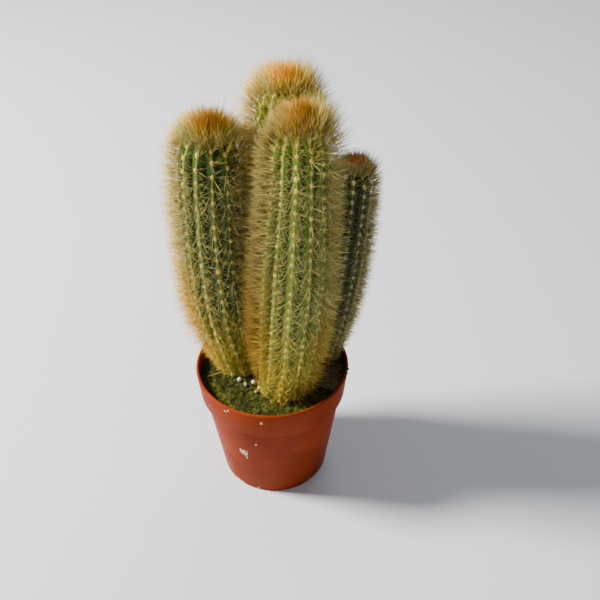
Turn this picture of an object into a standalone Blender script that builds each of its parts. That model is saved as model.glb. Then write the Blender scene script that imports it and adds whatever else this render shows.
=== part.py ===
"""Potted pilosocereus: four ribbed, spiny stems in a standard 8.5 cm plastic nursery pot.

Units are metres and +Z is up. The origin is the middle of the pot's base, on the plane that the
pot stands on. The front of the plant, where the moss lies, faces -Y.
"""

import math
import random
from dataclasses import dataclass

import bmesh
import bpy
import numpy as np
from mathutils import Matrix, Vector

MM = 0.001
GAP = 0.35 * MM

# Pot, outside
POT_HEIGHT = 75 * MM
RIM_RADIUS = 42.5 * MM
BAND_FOOT_RADIUS = 40.8 * MM
BAND_FOOT_Z = 58 * MM
BODY_TOP_RADIUS = 38.8 * MM
BODY_TOP_Z = 57.2 * MM
BASE_RADIUS = 30.5 * MM
WALL = 1.2 * MM
LIP_RADIUS = 0.9 * MM
LIP_STEPS = 5
POT_SEGMENTS = 44

# Pot, underside
BOSS_RADIUS = 11 * MM
FOOT_RING_INNER = 27 * MM
FOOT_ROUNDING = 0.8 * MM
RECESS = 1.8 * MM
FLOOR_TOP = 3.2 * MM
DRAIN_HOLES = 8
DRAIN_RADIUS = 3.5 * MM
DRAIN_CIRCLE = 19 * MM
NOTCHES = 4
NOTCH_WIDTH = 7 * MM
NOTCH_HEIGHT = 1.2 * MM

# Soil and moss
SOIL_Z = 67 * MM
SOIL_RELIEF = 0.3 * MM
SOIL_SEGMENTS = 32
ROOT_DEPTH = 12 * MM
MOSS_THICKNESS = 2.2 * MM
MOSS_RELIEF = 0.7 * MM
MOSS_INNER = 10 * MM
MOSS_START = math.radians(142)
MOSS_END = math.radians(331)
MOSS_STEPS = 28
MOSS_RINGS = 6

# Stem bodies
AXIS_SAMPLES = 81
ROOT_SHARE = 0.82
SHOULDER = 0.38
TAPER_TO = 0.95
DOME_SHARE = 1.05
RIB_DEPTH = 0.20
RIB_FADE = 25 * MM
RIB_CLOSING = 0.65
FIRST_AREOLE = 5 * MM
CROWDING = 0.2

# Crown of a stem: where it starts on the dome, and its rings as share of radius and roots per rib
CROWN_ANGLE = math.radians(54)
CROWN_RINGS = ((0.78, 1.5), (0.57, 1.25), (0.36, 1.0), (0.17, 0.5))
CROWN_FOCUS = 16 * MM
CROWN_SWAY = 0.04
CROWN_LENGTHS = (0.82, 1.08)

# Spines of an areole, in degrees: splay from its outward line, slant up or down from the side
AREOLE_HALF = 0.75 * MM
UPPER_SPLAYS = (30, 50)
LOWER_SPLAYS = (60, 42)
LEAST_SPLAY = 20
UPPER_SLANT = 36
LOWER_SLANT = 44
SLANT_LIMITS = (20, 76)
SWAY = 8
SPINE_LENGTHS = (0.88, 1.1)
DOME_LENGTHENING = 0.15

# Room round a spine
NEEDLE_HALF = 0.5 * MM
NEEDLE_CLEARANCE = 0.12 * MM
LONGEST_PAIR = 26 * MM
BODY_CLEARANCE = 1 * MM
RIM_KEEPOUT = 4 * MM
GRAIN_KEEPOUT = 3 * MM
GRAIN_TOP = 73.5 * MM
PROBES = (0.25, 0.45, 0.65, 0.85, 1.0)

# Ways to turn and shorten a spine that meets something: splay, slant, share of length
DODGES = (
    (0, 0, 1.0), (-12, 0, 1.0), (0, 24, 1.0), (0, -24, 1.0), (-25, 0, 1.0), (-12, 24, 0.9),
    (-12, -24, 0.9), (-38, 0, 0.9), (-25, 30, 0.8), (-25, -30, 0.8), (-38, 12, 0.7), (-20, 0, 0.6),
)


@dataclass(frozen=True)
class Stem:
    """One columnar stem: its centre line at the soil, half way up and at the tip, and its form.

    The radius is the greatest one at the rib crests. The stem thins by its taper towards the tip,
    from a share of its length on. The turn is the direction of the first rib in degrees.
    """
    name: str
    foot: tuple
    middle: tuple
    tip: tuple
    radius: float
    foot_share: float
    taper: float
    taper_from: float
    turn: float
    ribs: int
    rows: int
    spine: float
    crown_spine: float
    seed: int


STEMS = (
    Stem("stem_front", (5, -12.5, 67), (12.4, -17, 146), (15.5, -16, 228.5),
         15.9, 0.86, 0.24, 0.48, 20, 12, 13, 10.5, 12.5, 3),
    Stem("stem_left", (-17.5, 5, 67), (-27.3, 9.5, 126.5), (-26, 9, 213),
         14.8, 0.72, 0.03, 0.60, 9, 12, 12, 10.5, 12.0, 5),
    Stem("stem_back", (6, 22, 67), (8.5, 24, 147), (9.5, 23, 229),
         15.5, 0.75, 0.14, 0.50, 0, 12, 13, 10.5, 13.5, 7),
    Stem("stem_right", (26.5, 8, 67), (37.5, 9.5, 125), (42.9, 10.5, 190.5),
         9.6, 0.82, 0.08, 0.50, 12, 10, 11, 7.0, 8.5, 9),
)


@dataclass(frozen=True)
class Grain:
    """A grain of perlite on the moss: its place on the surface, its three sizes and its turn."""
    name: str
    place: tuple
    size: tuple
    turn: float
    color: tuple


GRAINS = (
    Grain("perlite_1", (-18.6, -9.4), (2.6, 2.2, 2.0), 20, (0.83, 0.80, 0.74)),
    Grain("perlite_2", (-10.9, -11.9), (2.2, 2.4, 2.0), 70, (0.80, 0.77, 0.70)),
    Grain("perlite_3", (-15.1, -13.6), (2.0, 3.2, 1.7), 15, (0.42, 0.43, 0.33)),
    Grain("perlite_4", (-9.4, -19.4), (1.8, 2.2, 1.5), 110, (0.60, 0.55, 0.33)),
)

POT_COLOR = (0.43, 0.115, 0.062)
SOIL_COLOR = (0.035, 0.024, 0.016)
MOSS_COLOR = (0.075, 0.105, 0.025)
STEM_COLOR = (0.115, 0.19, 0.045)
SPINE_COLOR = (0.62, 0.48, 0.22)


def ease(low, high, value):
    """Smooth step from 0 at low to 1 at high."""
    share = min(max((value - low) / (high - low), 0.0), 1.0)
    return share * share * (3 - 2 * share)


def body_radius(z):
    """Outer radius of the pot's tapered body."""
    return BASE_RADIUS + (BODY_TOP_RADIUS - BASE_RADIUS) * z / BODY_TOP_Z


def band_radius(z):
    """Outer radius of the rim band."""
    share = (z - BAND_FOOT_Z) / (POT_HEIGHT - LIP_RADIUS - BAND_FOOT_Z)
    return BAND_FOOT_RADIUS + (RIM_RADIUS - BAND_FOOT_RADIUS) * share


def soil_height(x, y):
    """Height of the gently uneven soil surface."""
    waves = math.sin(160 * x + 1.0) * math.cos(140 * y) + 0.5 * math.sin(260 * y - 120 * x)
    return SOIL_Z + SOIL_RELIEF * waves / 1.5


def moss_height(x, y):
    """Height of the moss cushions, away from their edge."""
    cushions = math.sin(410 * x + 1.3) * math.sin(430 * y + 0.4) + 0.6 * math.cos(700 * (x + y))
    return SOIL_Z + MOSS_THICKNESS + MOSS_RELIEF * cushions / 1.6


def make_material(name, color, roughness):
    """A Principled material of one colour."""
    material = bpy.data.materials.new(name)
    material.use_nodes = True
    shader = material.node_tree.nodes["Principled BSDF"]
    shader.inputs["Base Color"].default_value = (*color, 1.0)
    shader.inputs["Roughness"].default_value = roughness
    shader.inputs["Metallic"].default_value = 0.0
    return material


def add_object(name, bm, *materials, smooth_angle=40):
    """Turn a bmesh into a named object in the scene."""
    mesh = bpy.data.meshes.new(name)
    bm.to_mesh(mesh)
    bm.free()
    mesh.shade_smooth()
    mesh.set_sharp_from_angle(angle=math.radians(smooth_angle))
    thing = bpy.data.objects.new(name, mesh)
    for material in materials:
        mesh.materials.append(material)
    bpy.context.scene.collection.objects.link(thing)
    return thing


def turned(outline, segments):
    """Spin an outline of radius and height once round the Z axis, and close it at the axis."""
    bm = bmesh.new()
    points = [bm.verts.new((radius, 0, z)) for radius, z in outline]
    edges = [bm.edges.new(pair) for pair in zip(points, points[1:])]
    bmesh.ops.spin(bm, geom=points + edges, cent=(0, 0, 0), axis=(0, 0, 1),
                   angle=math.tau, steps=segments, use_merge=True)
    bmesh.ops.remove_doubles(bm, verts=bm.verts, dist=0.01 * MM)
    bmesh.ops.recalc_face_normals(bm, faces=bm.faces)
    return bm


def add_cutter(name, bm, target):
    """Add a hidden cutter that is taken away from its target."""
    cutter = add_object(name, bm)
    cutter.display_type = "WIRE"
    cutter.hide_render = True
    cut = target.modifiers.new(name, "BOOLEAN")
    cut.operation = "DIFFERENCE"
    cut.solver = "EXACT"
    cut.object = cutter
    return cutter


def pot_outline():
    """Radius and height from the underside's middle, up outside, over the lip and down inside."""
    lip_z = POT_HEIGHT - LIP_RADIUS
    lip_centre = RIM_RADIUS - LIP_RADIUS
    lip = []
    for step in range(LIP_STEPS + 1):
        angle = math.pi * step / LIP_STEPS
        lip.append((lip_centre + LIP_RADIUS * math.cos(angle), lip_z + LIP_RADIUS * math.sin(angle)))
    inside_step = BAND_FOOT_Z + 0.8 * MM
    inside_body = BODY_TOP_Z - 0.6 * MM
    return [
        (0, 0),
        (BOSS_RADIUS, 0),
        (BOSS_RADIUS + 0.5 * MM, RECESS),
        (FOOT_RING_INNER - 0.5 * MM, RECESS),
        (FOOT_RING_INNER, 0),
        (BASE_RADIUS - FOOT_ROUNDING, 0),
        (body_radius(FOOT_ROUNDING), FOOT_ROUNDING),
        (BODY_TOP_RADIUS, BODY_TOP_Z),
        (BAND_FOOT_RADIUS, BAND_FOOT_Z),
        *lip,
        (band_radius(lip_z - MM) - WALL, lip_z - MM),
        (band_radius(inside_step) - WALL, inside_step),
        (body_radius(inside_body) - WALL, inside_body),
        (body_radius(FLOOR_TOP + MM) - WALL, FLOOR_TOP + MM),
        (body_radius(FLOOR_TOP) - WALL - MM, FLOOR_TOP),
        (0, FLOOR_TOP),
    ]


def build_pot():
    """The thin plastic pot, with drain holes in its recessed floor and notches in its foot ring."""
    material = make_material("pot_plastic", POT_COLOR, 0.42)
    pot = add_object("pot", turned(pot_outline(), POT_SEGMENTS), material)
    holes = bmesh.new()
    for index in range(DRAIN_HOLES):
        angle = math.tau * index / DRAIN_HOLES
        place = Vector((DRAIN_CIRCLE * math.cos(angle), DRAIN_CIRCLE * math.sin(angle), FLOOR_TOP / 2))
        bmesh.ops.create_cone(holes, cap_ends=True, segments=12, radius1=DRAIN_RADIUS,
                              radius2=DRAIN_RADIUS, depth=2 * FLOOR_TOP, matrix=Matrix.Translation(place))
    add_cutter("drain_cutter", holes, pot)
    notches = bmesh.new()
    ring_middle = (FOOT_RING_INNER + BASE_RADIUS) / 2
    ring_width = BASE_RADIUS - FOOT_RING_INNER
    for index in range(NOTCHES):
        turn = Matrix.Rotation(math.tau * (index + 0.5) / NOTCHES, 4, "Z")
        shape = Matrix.Diagonal((ring_width + 3 * MM, NOTCH_WIDTH, 2 * NOTCH_HEIGHT, 1))
        bmesh.ops.create_cube(notches, size=1, matrix=turn @ Matrix.Translation((ring_middle, 0, 0)) @ shape)
    add_cutter("notch_cutter", notches, pot)


class Axis:
    """A stem's curved centre line, measured in metres along it from the soil."""

    def __init__(self, stem):
        foot, middle, tip = (Vector(point) * MM for point in (stem.foot, stem.middle, stem.tip))
        control = 2 * middle - (foot + tip) / 2
        self.points = []
        self.lengths = [0.0]
        for index in range(AXIS_SAMPLES):
            t = index / (AXIS_SAMPLES - 1)
            self.points.append((1 - t) ** 2 * foot + 2 * t * (1 - t) * control + t * t * tip)
        for low, high in zip(self.points, self.points[1:]):
            self.lengths.append(self.lengths[-1] + (high - low).length)
        self.length = self.lengths[-1]

    def frame(self, along):
        """The point at a length, with directions across, behind and along the stem."""
        index = int(np.searchsorted(self.lengths, along)) - 1
        index = min(max(index, 0), AXIS_SAMPLES - 2)
        low, high = self.points[index], self.points[index + 1]
        before = self.points[max(index - 1, 0)]
        after = self.points[min(index + 2, AXIS_SAMPLES - 1)]
        upward = (high - low).normalized()
        point = low + upward * (along - self.lengths[index])
        upward = (after - before).normalized()
        across = (Vector((1, 0, 0)) - upward * upward.x).normalized()
        return point, across, upward.cross(across), upward


class StemForm:
    """The ribbed body of a stem as formulas, in metres."""

    def __init__(self, stem):
        self.stem = stem
        self.axis = Axis(stem)
        self.radius = stem.radius * MM
        self.dome = DOME_SHARE * self.radius
        self.dome_start = self.axis.length - self.dome
        self.crown_start = self.dome_start + self.dome * CROWN_ANGLE

    def girth(self, along):
        """Radius at the rib crests below the dome."""
        share = along / self.axis.length
        growth = self.stem.foot_share + (1 - self.stem.foot_share) * ease(0, SHOULDER, share)
        return self.radius * growth * (1 - self.stem.taper * ease(self.stem.taper_from, TAPER_TO, share))

    def meridian(self, distance):
        """Length, crest radius and rise of the surface at a distance up over the dome."""
        if distance <= self.dome_start:
            return distance, self.girth(distance), 0.0
        rise = (distance - self.dome_start) / self.dome
        top = self.girth(self.dome_start)
        return self.dome_start + self.dome * math.sin(rise), top * math.cos(rise), rise

    def valley(self, distance):
        """Share of the crest radius that is left in the furrow between two ribs."""
        closing = ease(self.dome_start, self.crown_start, distance)
        return 1 - RIB_DEPTH * ease(0, RIB_FADE, distance) * (1 - RIB_CLOSING * closing)

    def place(self, distance, angle, share=1.0):
        """A point on the surface, with its outward, upward and sideways directions."""
        along, radius, rise = self.meridian(distance)
        point, across, behind, upward = self.axis.frame(along)
        angle += math.radians(self.stem.turn)
        radial = across * math.cos(angle) + behind * math.sin(angle)
        outward = radial * math.cos(rise) + upward * math.sin(rise)
        climb = upward * math.cos(rise) - radial * math.sin(rise)
        return point + radial * radius * share, outward, climb, outward.cross(climb)

    def areole_distance(self, row):
        """How far up an areole row stands: the rows crowd together towards the crown."""
        share = min(row / self.stem.rows, 1.0)
        spread = share * (1 + CROWDING) - CROWDING * share * share
        return FIRST_AREOLE + (self.crown_start - FIRST_AREOLE) * spread

    def samples(self):
        """Points along the axis and the crest radius at each, for clearance tests."""
        points = []
        radii = []
        for along in np.linspace(0, self.axis.length, AXIS_SAMPLES):
            over_dome = max(along - self.dome_start, 0) / self.dome
            points.append(self.axis.frame(along)[0])
            radii.append(self.girth(min(along, self.dome_start)) * math.sqrt(max(1 - over_dome ** 2, 0)))
        return np.array(points), np.array(radii)


@dataclass
class Areole:
    """A spine-bearing point on a rib crest, with the directions round it."""
    middle: Vector
    outward: Vector
    climb: Vector
    side: Vector
    lift: float
    odd: bool


class Clearance:
    """Keeps every spine clear of the others, the other stems, the pot, its filling and the grains."""

    def __init__(self, forms):
        self.bodies = {form.stem.name: form.samples() for form in forms}
        self.starts = np.zeros((0, 3))
        self.ends = np.zeros((0, 3))

    def add(self, start, end):
        """Remember a spine that has been placed."""
        self.starts = np.vstack((self.starts, start))
        self.ends = np.vstack((self.ends, end))

    def near_spine(self, start, end):
        """Whether a spine from start to end comes too close to one that is already there."""
        away = np.linalg.norm(self.starts - start, axis=1)
        reach = (away > 2 * AREOLE_HALF) & (away < LONGEST_PAIR)
        first, last = self.starts[reach], self.ends[reach]
        if len(first) == 0:
            return False
        own = end - start
        other = last - first
        between = start - first
        own_square = own @ own
        other_square = (other * other).sum(axis=1)
        cross = other @ own
        own_part = between @ own
        other_part = (other * between).sum(axis=1)
        scale = np.maximum(own_square * other_square - cross ** 2, 1e-16)
        on_own = np.clip((cross * other_part - own_part * other_square) / scale, 0, 1)
        on_other = np.clip((cross * on_own + other_part) / other_square, 0, 1)
        on_own = np.clip((cross * on_other - own_part) / own_square, 0, 1)
        apart = between + on_own[:, None] * own - on_other[:, None] * other
        needed = NEEDLE_HALF * (2 - on_own - on_other) + NEEDLE_CLEARANCE
        return bool((np.linalg.norm(apart, axis=1) < needed).any())

    def near_body(self, stem_name, start, end):
        """Whether a spine comes too close to another stem, the soil, the moss, the pot or a grain."""
        for share in PROBES:
            point = start + (end - start) * share
            from_middle = math.hypot(point[0], point[1])
            if point[2] < SOIL_Z + MOSS_THICKNESS + MOSS_RELIEF + BODY_CLEARANCE:
                return True
            if from_middle > RIM_RADIUS - RIM_KEEPOUT and point[2] < POT_HEIGHT + BODY_CLEARANCE:
                return True
            for grain in GRAINS:
                aside = math.hypot(point[0] - grain.place[0] * MM, point[1] - grain.place[1] * MM)
                if aside < GRAIN_KEEPOUT and point[2] < GRAIN_TOP:
                    return True
            for name, (centres, radii) in self.bodies.items():
                if name != stem_name:
                    room = np.linalg.norm(centres - point, axis=1) - radii
                    if room.min() < BODY_CLEARANCE:
                        return True
        return False


def stem_body(form):
    """The ribbed body up to the crown: staggered areole points on the crests, plain furrows."""
    bm = bmesh.new()
    columns = 2 * form.stem.ribs
    grid = []
    areoles = {}
    for distance, share in ((-ROOT_DEPTH, ROOT_SHARE), (0, 1.0)):
        ring = []
        for column in range(columns):
            angle = math.tau * column / columns
            ring.append(bm.verts.new(form.place(distance, angle, share)[0]))
        grid.append(ring)
    for row in range(form.stem.rows + 1):
        ring = []
        for column in range(columns):
            crest = column % 2 == 0
            stagger = (0.5 if column % 4 == 2 else 0.0) if crest else 0.25
            distance = form.areole_distance(row + stagger)
            share = 1.0 if crest else form.valley(distance)
            place = form.place(distance, math.tau * column / columns, share)
            vert = bm.verts.new(place[0])
            ring.append(vert)
            if crest and row < form.stem.rows:
                lift = form.meridian(distance)[2]
                areoles[vert] = Areole(*place, lift, (row + column // 2) % 2 == 1)
        grid.append(ring)
    for low, high in zip(grid, grid[1:]):
        for column in range(columns):
            after = (column + 1) % columns
            bm.faces.new((low[column], low[after], high[after], high[column]))
    bm.faces.new(list(reversed(grid[0])))
    return bm, grid[-1], areoles


def stitch(bm, outer, inner):
    """Fill the band between two rings of different counts with triangles."""
    faces = []
    i = j = 0
    while i < len(outer) or j < len(inner):
        take_outer = j >= len(inner) or (i < len(outer) and (i + 0.5) / len(outer) <= (j + 0.5) / len(inner))
        corner = outer[i % len(outer)]
        tip = inner[j % len(inner)]
        if take_outer:
            i += 1
            faces.append(bm.faces.new((corner, outer[i % len(outer)], tip)))
        else:
            j += 1
            faces.append(bm.faces.new((corner, inner[j % len(inner)], tip)))
    return faces


def stem_crown(bm, form, rim):
    """Close the top of the dome with rings of small triangles, the roots of the crown's spines."""
    faces = []
    ring = rim
    rim_radius = form.meridian(form.crown_start)[1]
    top = form.girth(form.dome_start)
    for share, per_rib in CROWN_RINGS:
        count = round(form.stem.ribs * per_rib)
        distance = form.dome_start + form.dome * math.acos(rim_radius * share / top)
        inner = []
        for index in range(count):
            inner.append(bm.verts.new(form.place(distance, math.tau * index / count)[0]))
        faces += stitch(bm, ring, inner)
        ring = inner
    apex = bm.verts.new(form.axis.frame(form.axis.length)[0])
    for index, corner in enumerate(ring):
        faces.append(bm.faces.new((corner, ring[(index + 1) % len(ring)], apex)))
    return faces


def raise_spine(bm, face, tip):
    """Pull the middle of a small face out to a spine's tip."""
    made = bmesh.ops.poke(bm, faces=[face])
    made["verts"][0].co = tip
    for side in made["faces"]:
        side.material_index = 1


def crown_spines(bm, form, faces, chance, clearance):
    """Dense, spreading spines on the top of a stem."""
    apex, _, _, upward = form.axis.frame(form.axis.length)
    focus = apex - upward * CROWN_FOCUS
    for face in faces:
        root = face.calc_center_median()
        sway = Vector((chance.uniform(-1, 1), chance.uniform(-1, 1), 0)) * CROWN_SWAY
        heading = ((root - focus).normalized() + sway).normalized()
        tip = root + heading * form.stem.crown_spine * MM * chance.uniform(*CROWN_LENGTHS)
        clearance.add(np.array(root), np.array(tip))
        raise_spine(bm, face, tip)


def spine_heading(form, areole, offset, splay_change, slant_change):
    """The direction of an areole's spine, which leans the way that its root is offset."""
    to_right = offset.dot(areole.side) > 0
    upper = offset.dot(areole.climb) > 0
    steep = to_right != areole.odd
    splay = max((UPPER_SPLAYS if upper else LOWER_SPLAYS)[steep] + splay_change, LEAST_SPLAY)
    slant = (UPPER_SLANT if upper else LOWER_SLANT) + slant_change
    slant = math.radians(min(max(slant, SLANT_LIMITS[0]), SLANT_LIMITS[1]))
    sideways = areole.side * math.cos(slant) * (1 if to_right else -1)
    upright = areole.climb * math.sin(slant) * (1 if upper else -1)
    heading = areole.outward * math.cos(math.radians(splay))
    heading += (sideways + upright) * math.sin(math.radians(splay))
    heading += form.axis.frame(form.axis.length)[3] * areole.lift
    return heading.normalized()


def areole_spines(bm, form, roots, chance, clearance):
    """Four spines on each areole, each turned or shortened until it is clear."""
    for areole, faces in roots:
        full = form.stem.spine * MM * (1 + DOME_LENGTHENING * areole.lift)
        for face in faces:
            root = face.calc_center_median()
            length = full * chance.uniform(*SPINE_LENGTHS)
            swing, tilt = chance.uniform(-SWAY, SWAY), chance.uniform(-SWAY, SWAY)
            for splay, slant, share in DODGES:
                heading = spine_heading(form, areole, root - areole.middle, splay + swing, slant + tilt)
                tip = root + heading * length * share
                start, end = np.array(root), np.array(tip)
                blocked = clearance.near_body(form.stem.name, start, end)
                if not blocked and not clearance.near_spine(start, end):
                    raise_spine(bm, face, tip)
                    clearance.add(start, end)
                    break


def level_corners(areole, diamond):
    """Bring a diamond's two side corners level with its middle, on the flanks of the rib."""
    for vert in diamond.verts:
        offset = vert.co - areole.middle
        if abs(offset.dot(areole.side)) > AREOLE_HALF / 4:
            level = offset - areole.climb * offset.dot(areole.climb)
            vert.co = areole.middle + level.normalized() * AREOLE_HALF


def split_areoles(bm, areoles):
    """Cut a small diamond round each areole point and split it in four, the roots of its spines."""
    areoles_in_order = list(areoles.values())
    made = bmesh.ops.bevel(bm, geom=list(areoles), offset=AREOLE_HALF, offset_type="OFFSET",
                           affect="VERTICES", segments=1, profile=0.5, clamp_overlap=False)
    diamonds = [face for face in made["faces"] if len(face.verts) == 4]
    centres = np.array([areole.middle for areole in areoles_in_order])
    owners = []
    for face in diamonds:
        owner = int(np.linalg.norm(centres - np.array(face.calc_center_median()), axis=1).argmin())
        owners.append((owner, face))
    owners.sort(key=lambda pair: pair[0])
    for owner, face in owners:
        level_corners(areoles_in_order[owner], face)
    kept = set(diamonds)
    rest = [face for face in bm.faces if face not in kept and len(face.verts) > 3]
    bmesh.ops.triangulate(bm, faces=rest, quad_method="SHORT_EDGE", ngon_method="BEAUTY")
    roots = []
    for owner, face in owners:
        areole = areoles_in_order[owner]
        quarters = bmesh.ops.poke(bm, faces=[face])
        quarters["verts"][0].co = areole.middle
        roots.append((areole, quarters["faces"]))
    return roots


def build_stems(forms):
    """All stems with their spines, one object each."""
    clearance = Clearance(forms)
    unfinished = []
    for form in forms:
        chance = random.Random(form.stem.seed)
        bm, rim, areoles = stem_body(form)
        crown_spines(bm, form, stem_crown(bm, form, rim), chance, clearance)
        unfinished.append((form, bm, split_areoles(bm, areoles), chance))
    for form, bm, roots, chance in unfinished:
        areole_spines(bm, form, roots, chance, clearance)
        bmesh.ops.recalc_face_normals(bm, faces=bm.faces)
        flesh = make_material(form.stem.name + "_flesh", STEM_COLOR, 0.55)
        spines = make_material(form.stem.name + "_spines", SPINE_COLOR, 0.5)
        add_object(form.stem.name, bm, flesh, spines)


def socket_cutter(form, margin):
    """A plain round hole's shape round the foot of a stem."""
    foot, across, behind, upward = form.axis.frame(0)
    bm = bmesh.new()
    sides = 24
    radius = (form.girth(0) + margin) / math.cos(math.pi / sides)
    low = -ROOT_DEPTH - margin
    high = 8 * MM
    turn = Matrix((across, behind, upward)).transposed().to_4x4()
    middle = Matrix.Translation(foot + upward * (low + high) / 2)
    bmesh.ops.create_cone(bm, cap_ends=True, segments=sides, radius1=radius, radius2=radius,
                          depth=high - low, matrix=middle @ turn)
    return bm


def build_soil(forms):
    """The soil that fills the pot, with a plain hole for each stem."""
    step_z = BAND_FOOT_Z + 0.8 * MM
    body_z = BODY_TOP_Z - 0.6 * MM
    outline = [
        (0, FLOOR_TOP + GAP),
        (body_radius(FLOOR_TOP) - WALL - MM - GAP, FLOOR_TOP + GAP),
        (body_radius(FLOOR_TOP + MM) - WALL - GAP, FLOOR_TOP + MM + GAP),
        (body_radius(body_z) - WALL - GAP, body_z + 0.2 * MM),
        (band_radius(step_z) - WALL - GAP, step_z + 0.3 * MM),
        (band_radius(SOIL_Z) - WALL - GAP, SOIL_Z - 0.6 * MM),
    ]
    outline += [(radius * MM, SOIL_Z) for radius in (37, 29, 20, 11, 0)]
    bm = turned(outline, SOIL_SEGMENTS)
    for vert in bm.verts:
        if vert.co.z > SOIL_Z - 0.1 * MM:
            vert.co.z = soil_height(vert.co.x, vert.co.y)
    soil = add_object("soil", bm, make_material("potting_soil", SOIL_COLOR, 0.95))
    for form in forms:
        add_cutter(form.stem.name + "_hole", socket_cutter(form, GAP), soil)


def build_moss(forms):
    """A cushion of moss round the front of the pot, cut round the feet of two stems."""
    bm = bmesh.new()
    outer = band_radius(SOIL_Z) - WALL - 2 * GAP
    underside = SOIL_Z + SOIL_RELIEF + GAP
    tops = []
    bottoms = []
    for step in range(MOSS_STEPS + 1):
        share = step / MOSS_STEPS
        angle = MOSS_START + (MOSS_END - MOSS_START) * share
        top = []
        bottom = []
        for ring in range(MOSS_RINGS + 1):
            part = ring / MOSS_RINGS
            radius = MOSS_INNER + (outer - MOSS_INNER) * part
            x, y = radius * math.cos(angle), radius * math.sin(angle)
            edge = min(ease(0, 0.08, share), ease(0, 0.08, 1 - share), ease(-0.06, 0.12, 1 - part))
            height = underside + 0.5 * MM + (moss_height(x, y) - underside - 0.5 * MM) * edge
            top.append(bm.verts.new((x, y, height)))
            bottom.append(bm.verts.new((x, y, underside)))
        tops.append(top)
        bottoms.append(bottom)
    for step in range(MOSS_STEPS):
        for ring in range(MOSS_RINGS):
            corners = ((step, ring), (step, ring + 1), (step + 1, ring + 1), (step + 1, ring))
            bm.faces.new([tops[i][j] for i, j in corners])
            bm.faces.new([bottoms[i][j] for i, j in reversed(corners)])
        bm.faces.new((bottoms[step][0], tops[step][0], tops[step + 1][0], bottoms[step + 1][0]))
        bm.faces.new((tops[step][-1], bottoms[step][-1], bottoms[step + 1][-1], tops[step + 1][-1]))
    for ring in range(MOSS_RINGS):
        bm.faces.new((bottoms[0][ring], bottoms[0][ring + 1], tops[0][ring + 1], tops[0][ring]))
        bm.faces.new((tops[-1][ring], tops[-1][ring + 1], bottoms[-1][ring + 1], bottoms[-1][ring]))
    bmesh.ops.triangulate(bm, faces=[face for face in bm.faces if face.normal.z > 0.1])
    bmesh.ops.recalc_face_normals(bm, faces=bm.faces)
    moss = add_object("moss", bm, make_material("moss", MOSS_COLOR, 0.9))
    for form in forms:
        if form.stem.name in ("stem_front", "stem_left"):
            add_cutter(form.stem.name + "_moss_hole", socket_cutter(form, 2 * GAP), moss)


def build_grain(grain):
    """One crumbly, slightly angular grain that lies on the moss."""
    bm = bmesh.new()
    bmesh.ops.create_icosphere(bm, subdivisions=1, radius=0.5)
    x, y = grain.place[0] * MM, grain.place[1] * MM
    turn = Matrix.Rotation(math.radians(grain.turn), 3, "Z")
    for vert in bm.verts:
        lump = 1 + 0.12 * math.sin(9 * vert.co.x + 5 * vert.co.y + grain.turn) * math.cos(7 * vert.co.z)
        shaped = Vector([vert.co[i] * grain.size[i] * lump * MM for i in range(3)])
        vert.co = turn @ shaped
    reach = max(grain.size) * MM / 2
    bed = max(moss_height(x + dx * reach, y + dy * reach) for dx in (-1, 0, 1) for dy in (-1, 0, 1))
    lowest = min(vert.co.z for vert in bm.verts)
    bmesh.ops.translate(bm, verts=bm.verts, vec=(x, y, bed + GAP - lowest))
    add_object(grain.name, bm, make_material(grain.name + "_mineral", grain.color, 0.9))


def main():
    for thing in list(bpy.data.objects):
        bpy.data.objects.remove(thing)
    forms = [StemForm(stem) for stem in STEMS]
    build_pot()
    build_soil(forms)
    build_moss(forms)
    build_stems(forms)
    for grain in GRAINS:
        build_grain(grain)


main()
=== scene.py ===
"""The finish of the potted pilosocereus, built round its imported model.

Lengths are metres in the model's own frame: +Z is up, the origin is the middle of the pot's base, and
the front of the plant, where the moss lies, faces -Y.
"""

from __future__ import annotations

import logging
import math
from collections.abc import Callable, Sequence
from dataclasses import dataclass, field, replace
from enum import Enum

import bmesh
import bpy
import numpy as np
from mathutils import Matrix, Vector

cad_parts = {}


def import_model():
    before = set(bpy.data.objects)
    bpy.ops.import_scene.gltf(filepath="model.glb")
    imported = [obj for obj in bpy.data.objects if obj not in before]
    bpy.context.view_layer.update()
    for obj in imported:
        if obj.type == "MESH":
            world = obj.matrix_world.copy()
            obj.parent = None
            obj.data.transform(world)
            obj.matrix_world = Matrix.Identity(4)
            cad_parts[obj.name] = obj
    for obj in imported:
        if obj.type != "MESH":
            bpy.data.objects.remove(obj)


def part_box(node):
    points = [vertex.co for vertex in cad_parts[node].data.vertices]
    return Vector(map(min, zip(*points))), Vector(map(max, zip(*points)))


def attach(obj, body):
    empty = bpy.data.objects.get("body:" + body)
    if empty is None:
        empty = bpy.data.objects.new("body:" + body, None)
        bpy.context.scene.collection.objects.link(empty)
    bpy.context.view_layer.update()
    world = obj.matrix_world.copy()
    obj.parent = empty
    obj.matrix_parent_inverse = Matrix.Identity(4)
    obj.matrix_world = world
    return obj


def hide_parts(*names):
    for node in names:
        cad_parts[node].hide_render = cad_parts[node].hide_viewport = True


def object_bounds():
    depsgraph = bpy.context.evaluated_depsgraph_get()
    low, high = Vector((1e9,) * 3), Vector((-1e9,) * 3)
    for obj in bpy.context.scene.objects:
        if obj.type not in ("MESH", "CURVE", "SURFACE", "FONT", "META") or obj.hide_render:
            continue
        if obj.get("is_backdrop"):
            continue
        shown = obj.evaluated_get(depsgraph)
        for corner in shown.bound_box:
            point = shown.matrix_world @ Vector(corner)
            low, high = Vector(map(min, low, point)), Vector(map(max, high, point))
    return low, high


MM = 0.001
BODY = "root"
GOLDEN_ANGLE = math.pi * (3 - math.sqrt(5))

# Millimetres: the heights of the soil and of the moss's underside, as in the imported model, and how far
# the finest spines may stand past the model's box along x, y and z.
SOIL_TOP = 67
MOSS_FOOT = 67.65
PROUD = (1.2, 1.0, 3.0)

log = logging.getLogger("pilosocereus")

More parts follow.
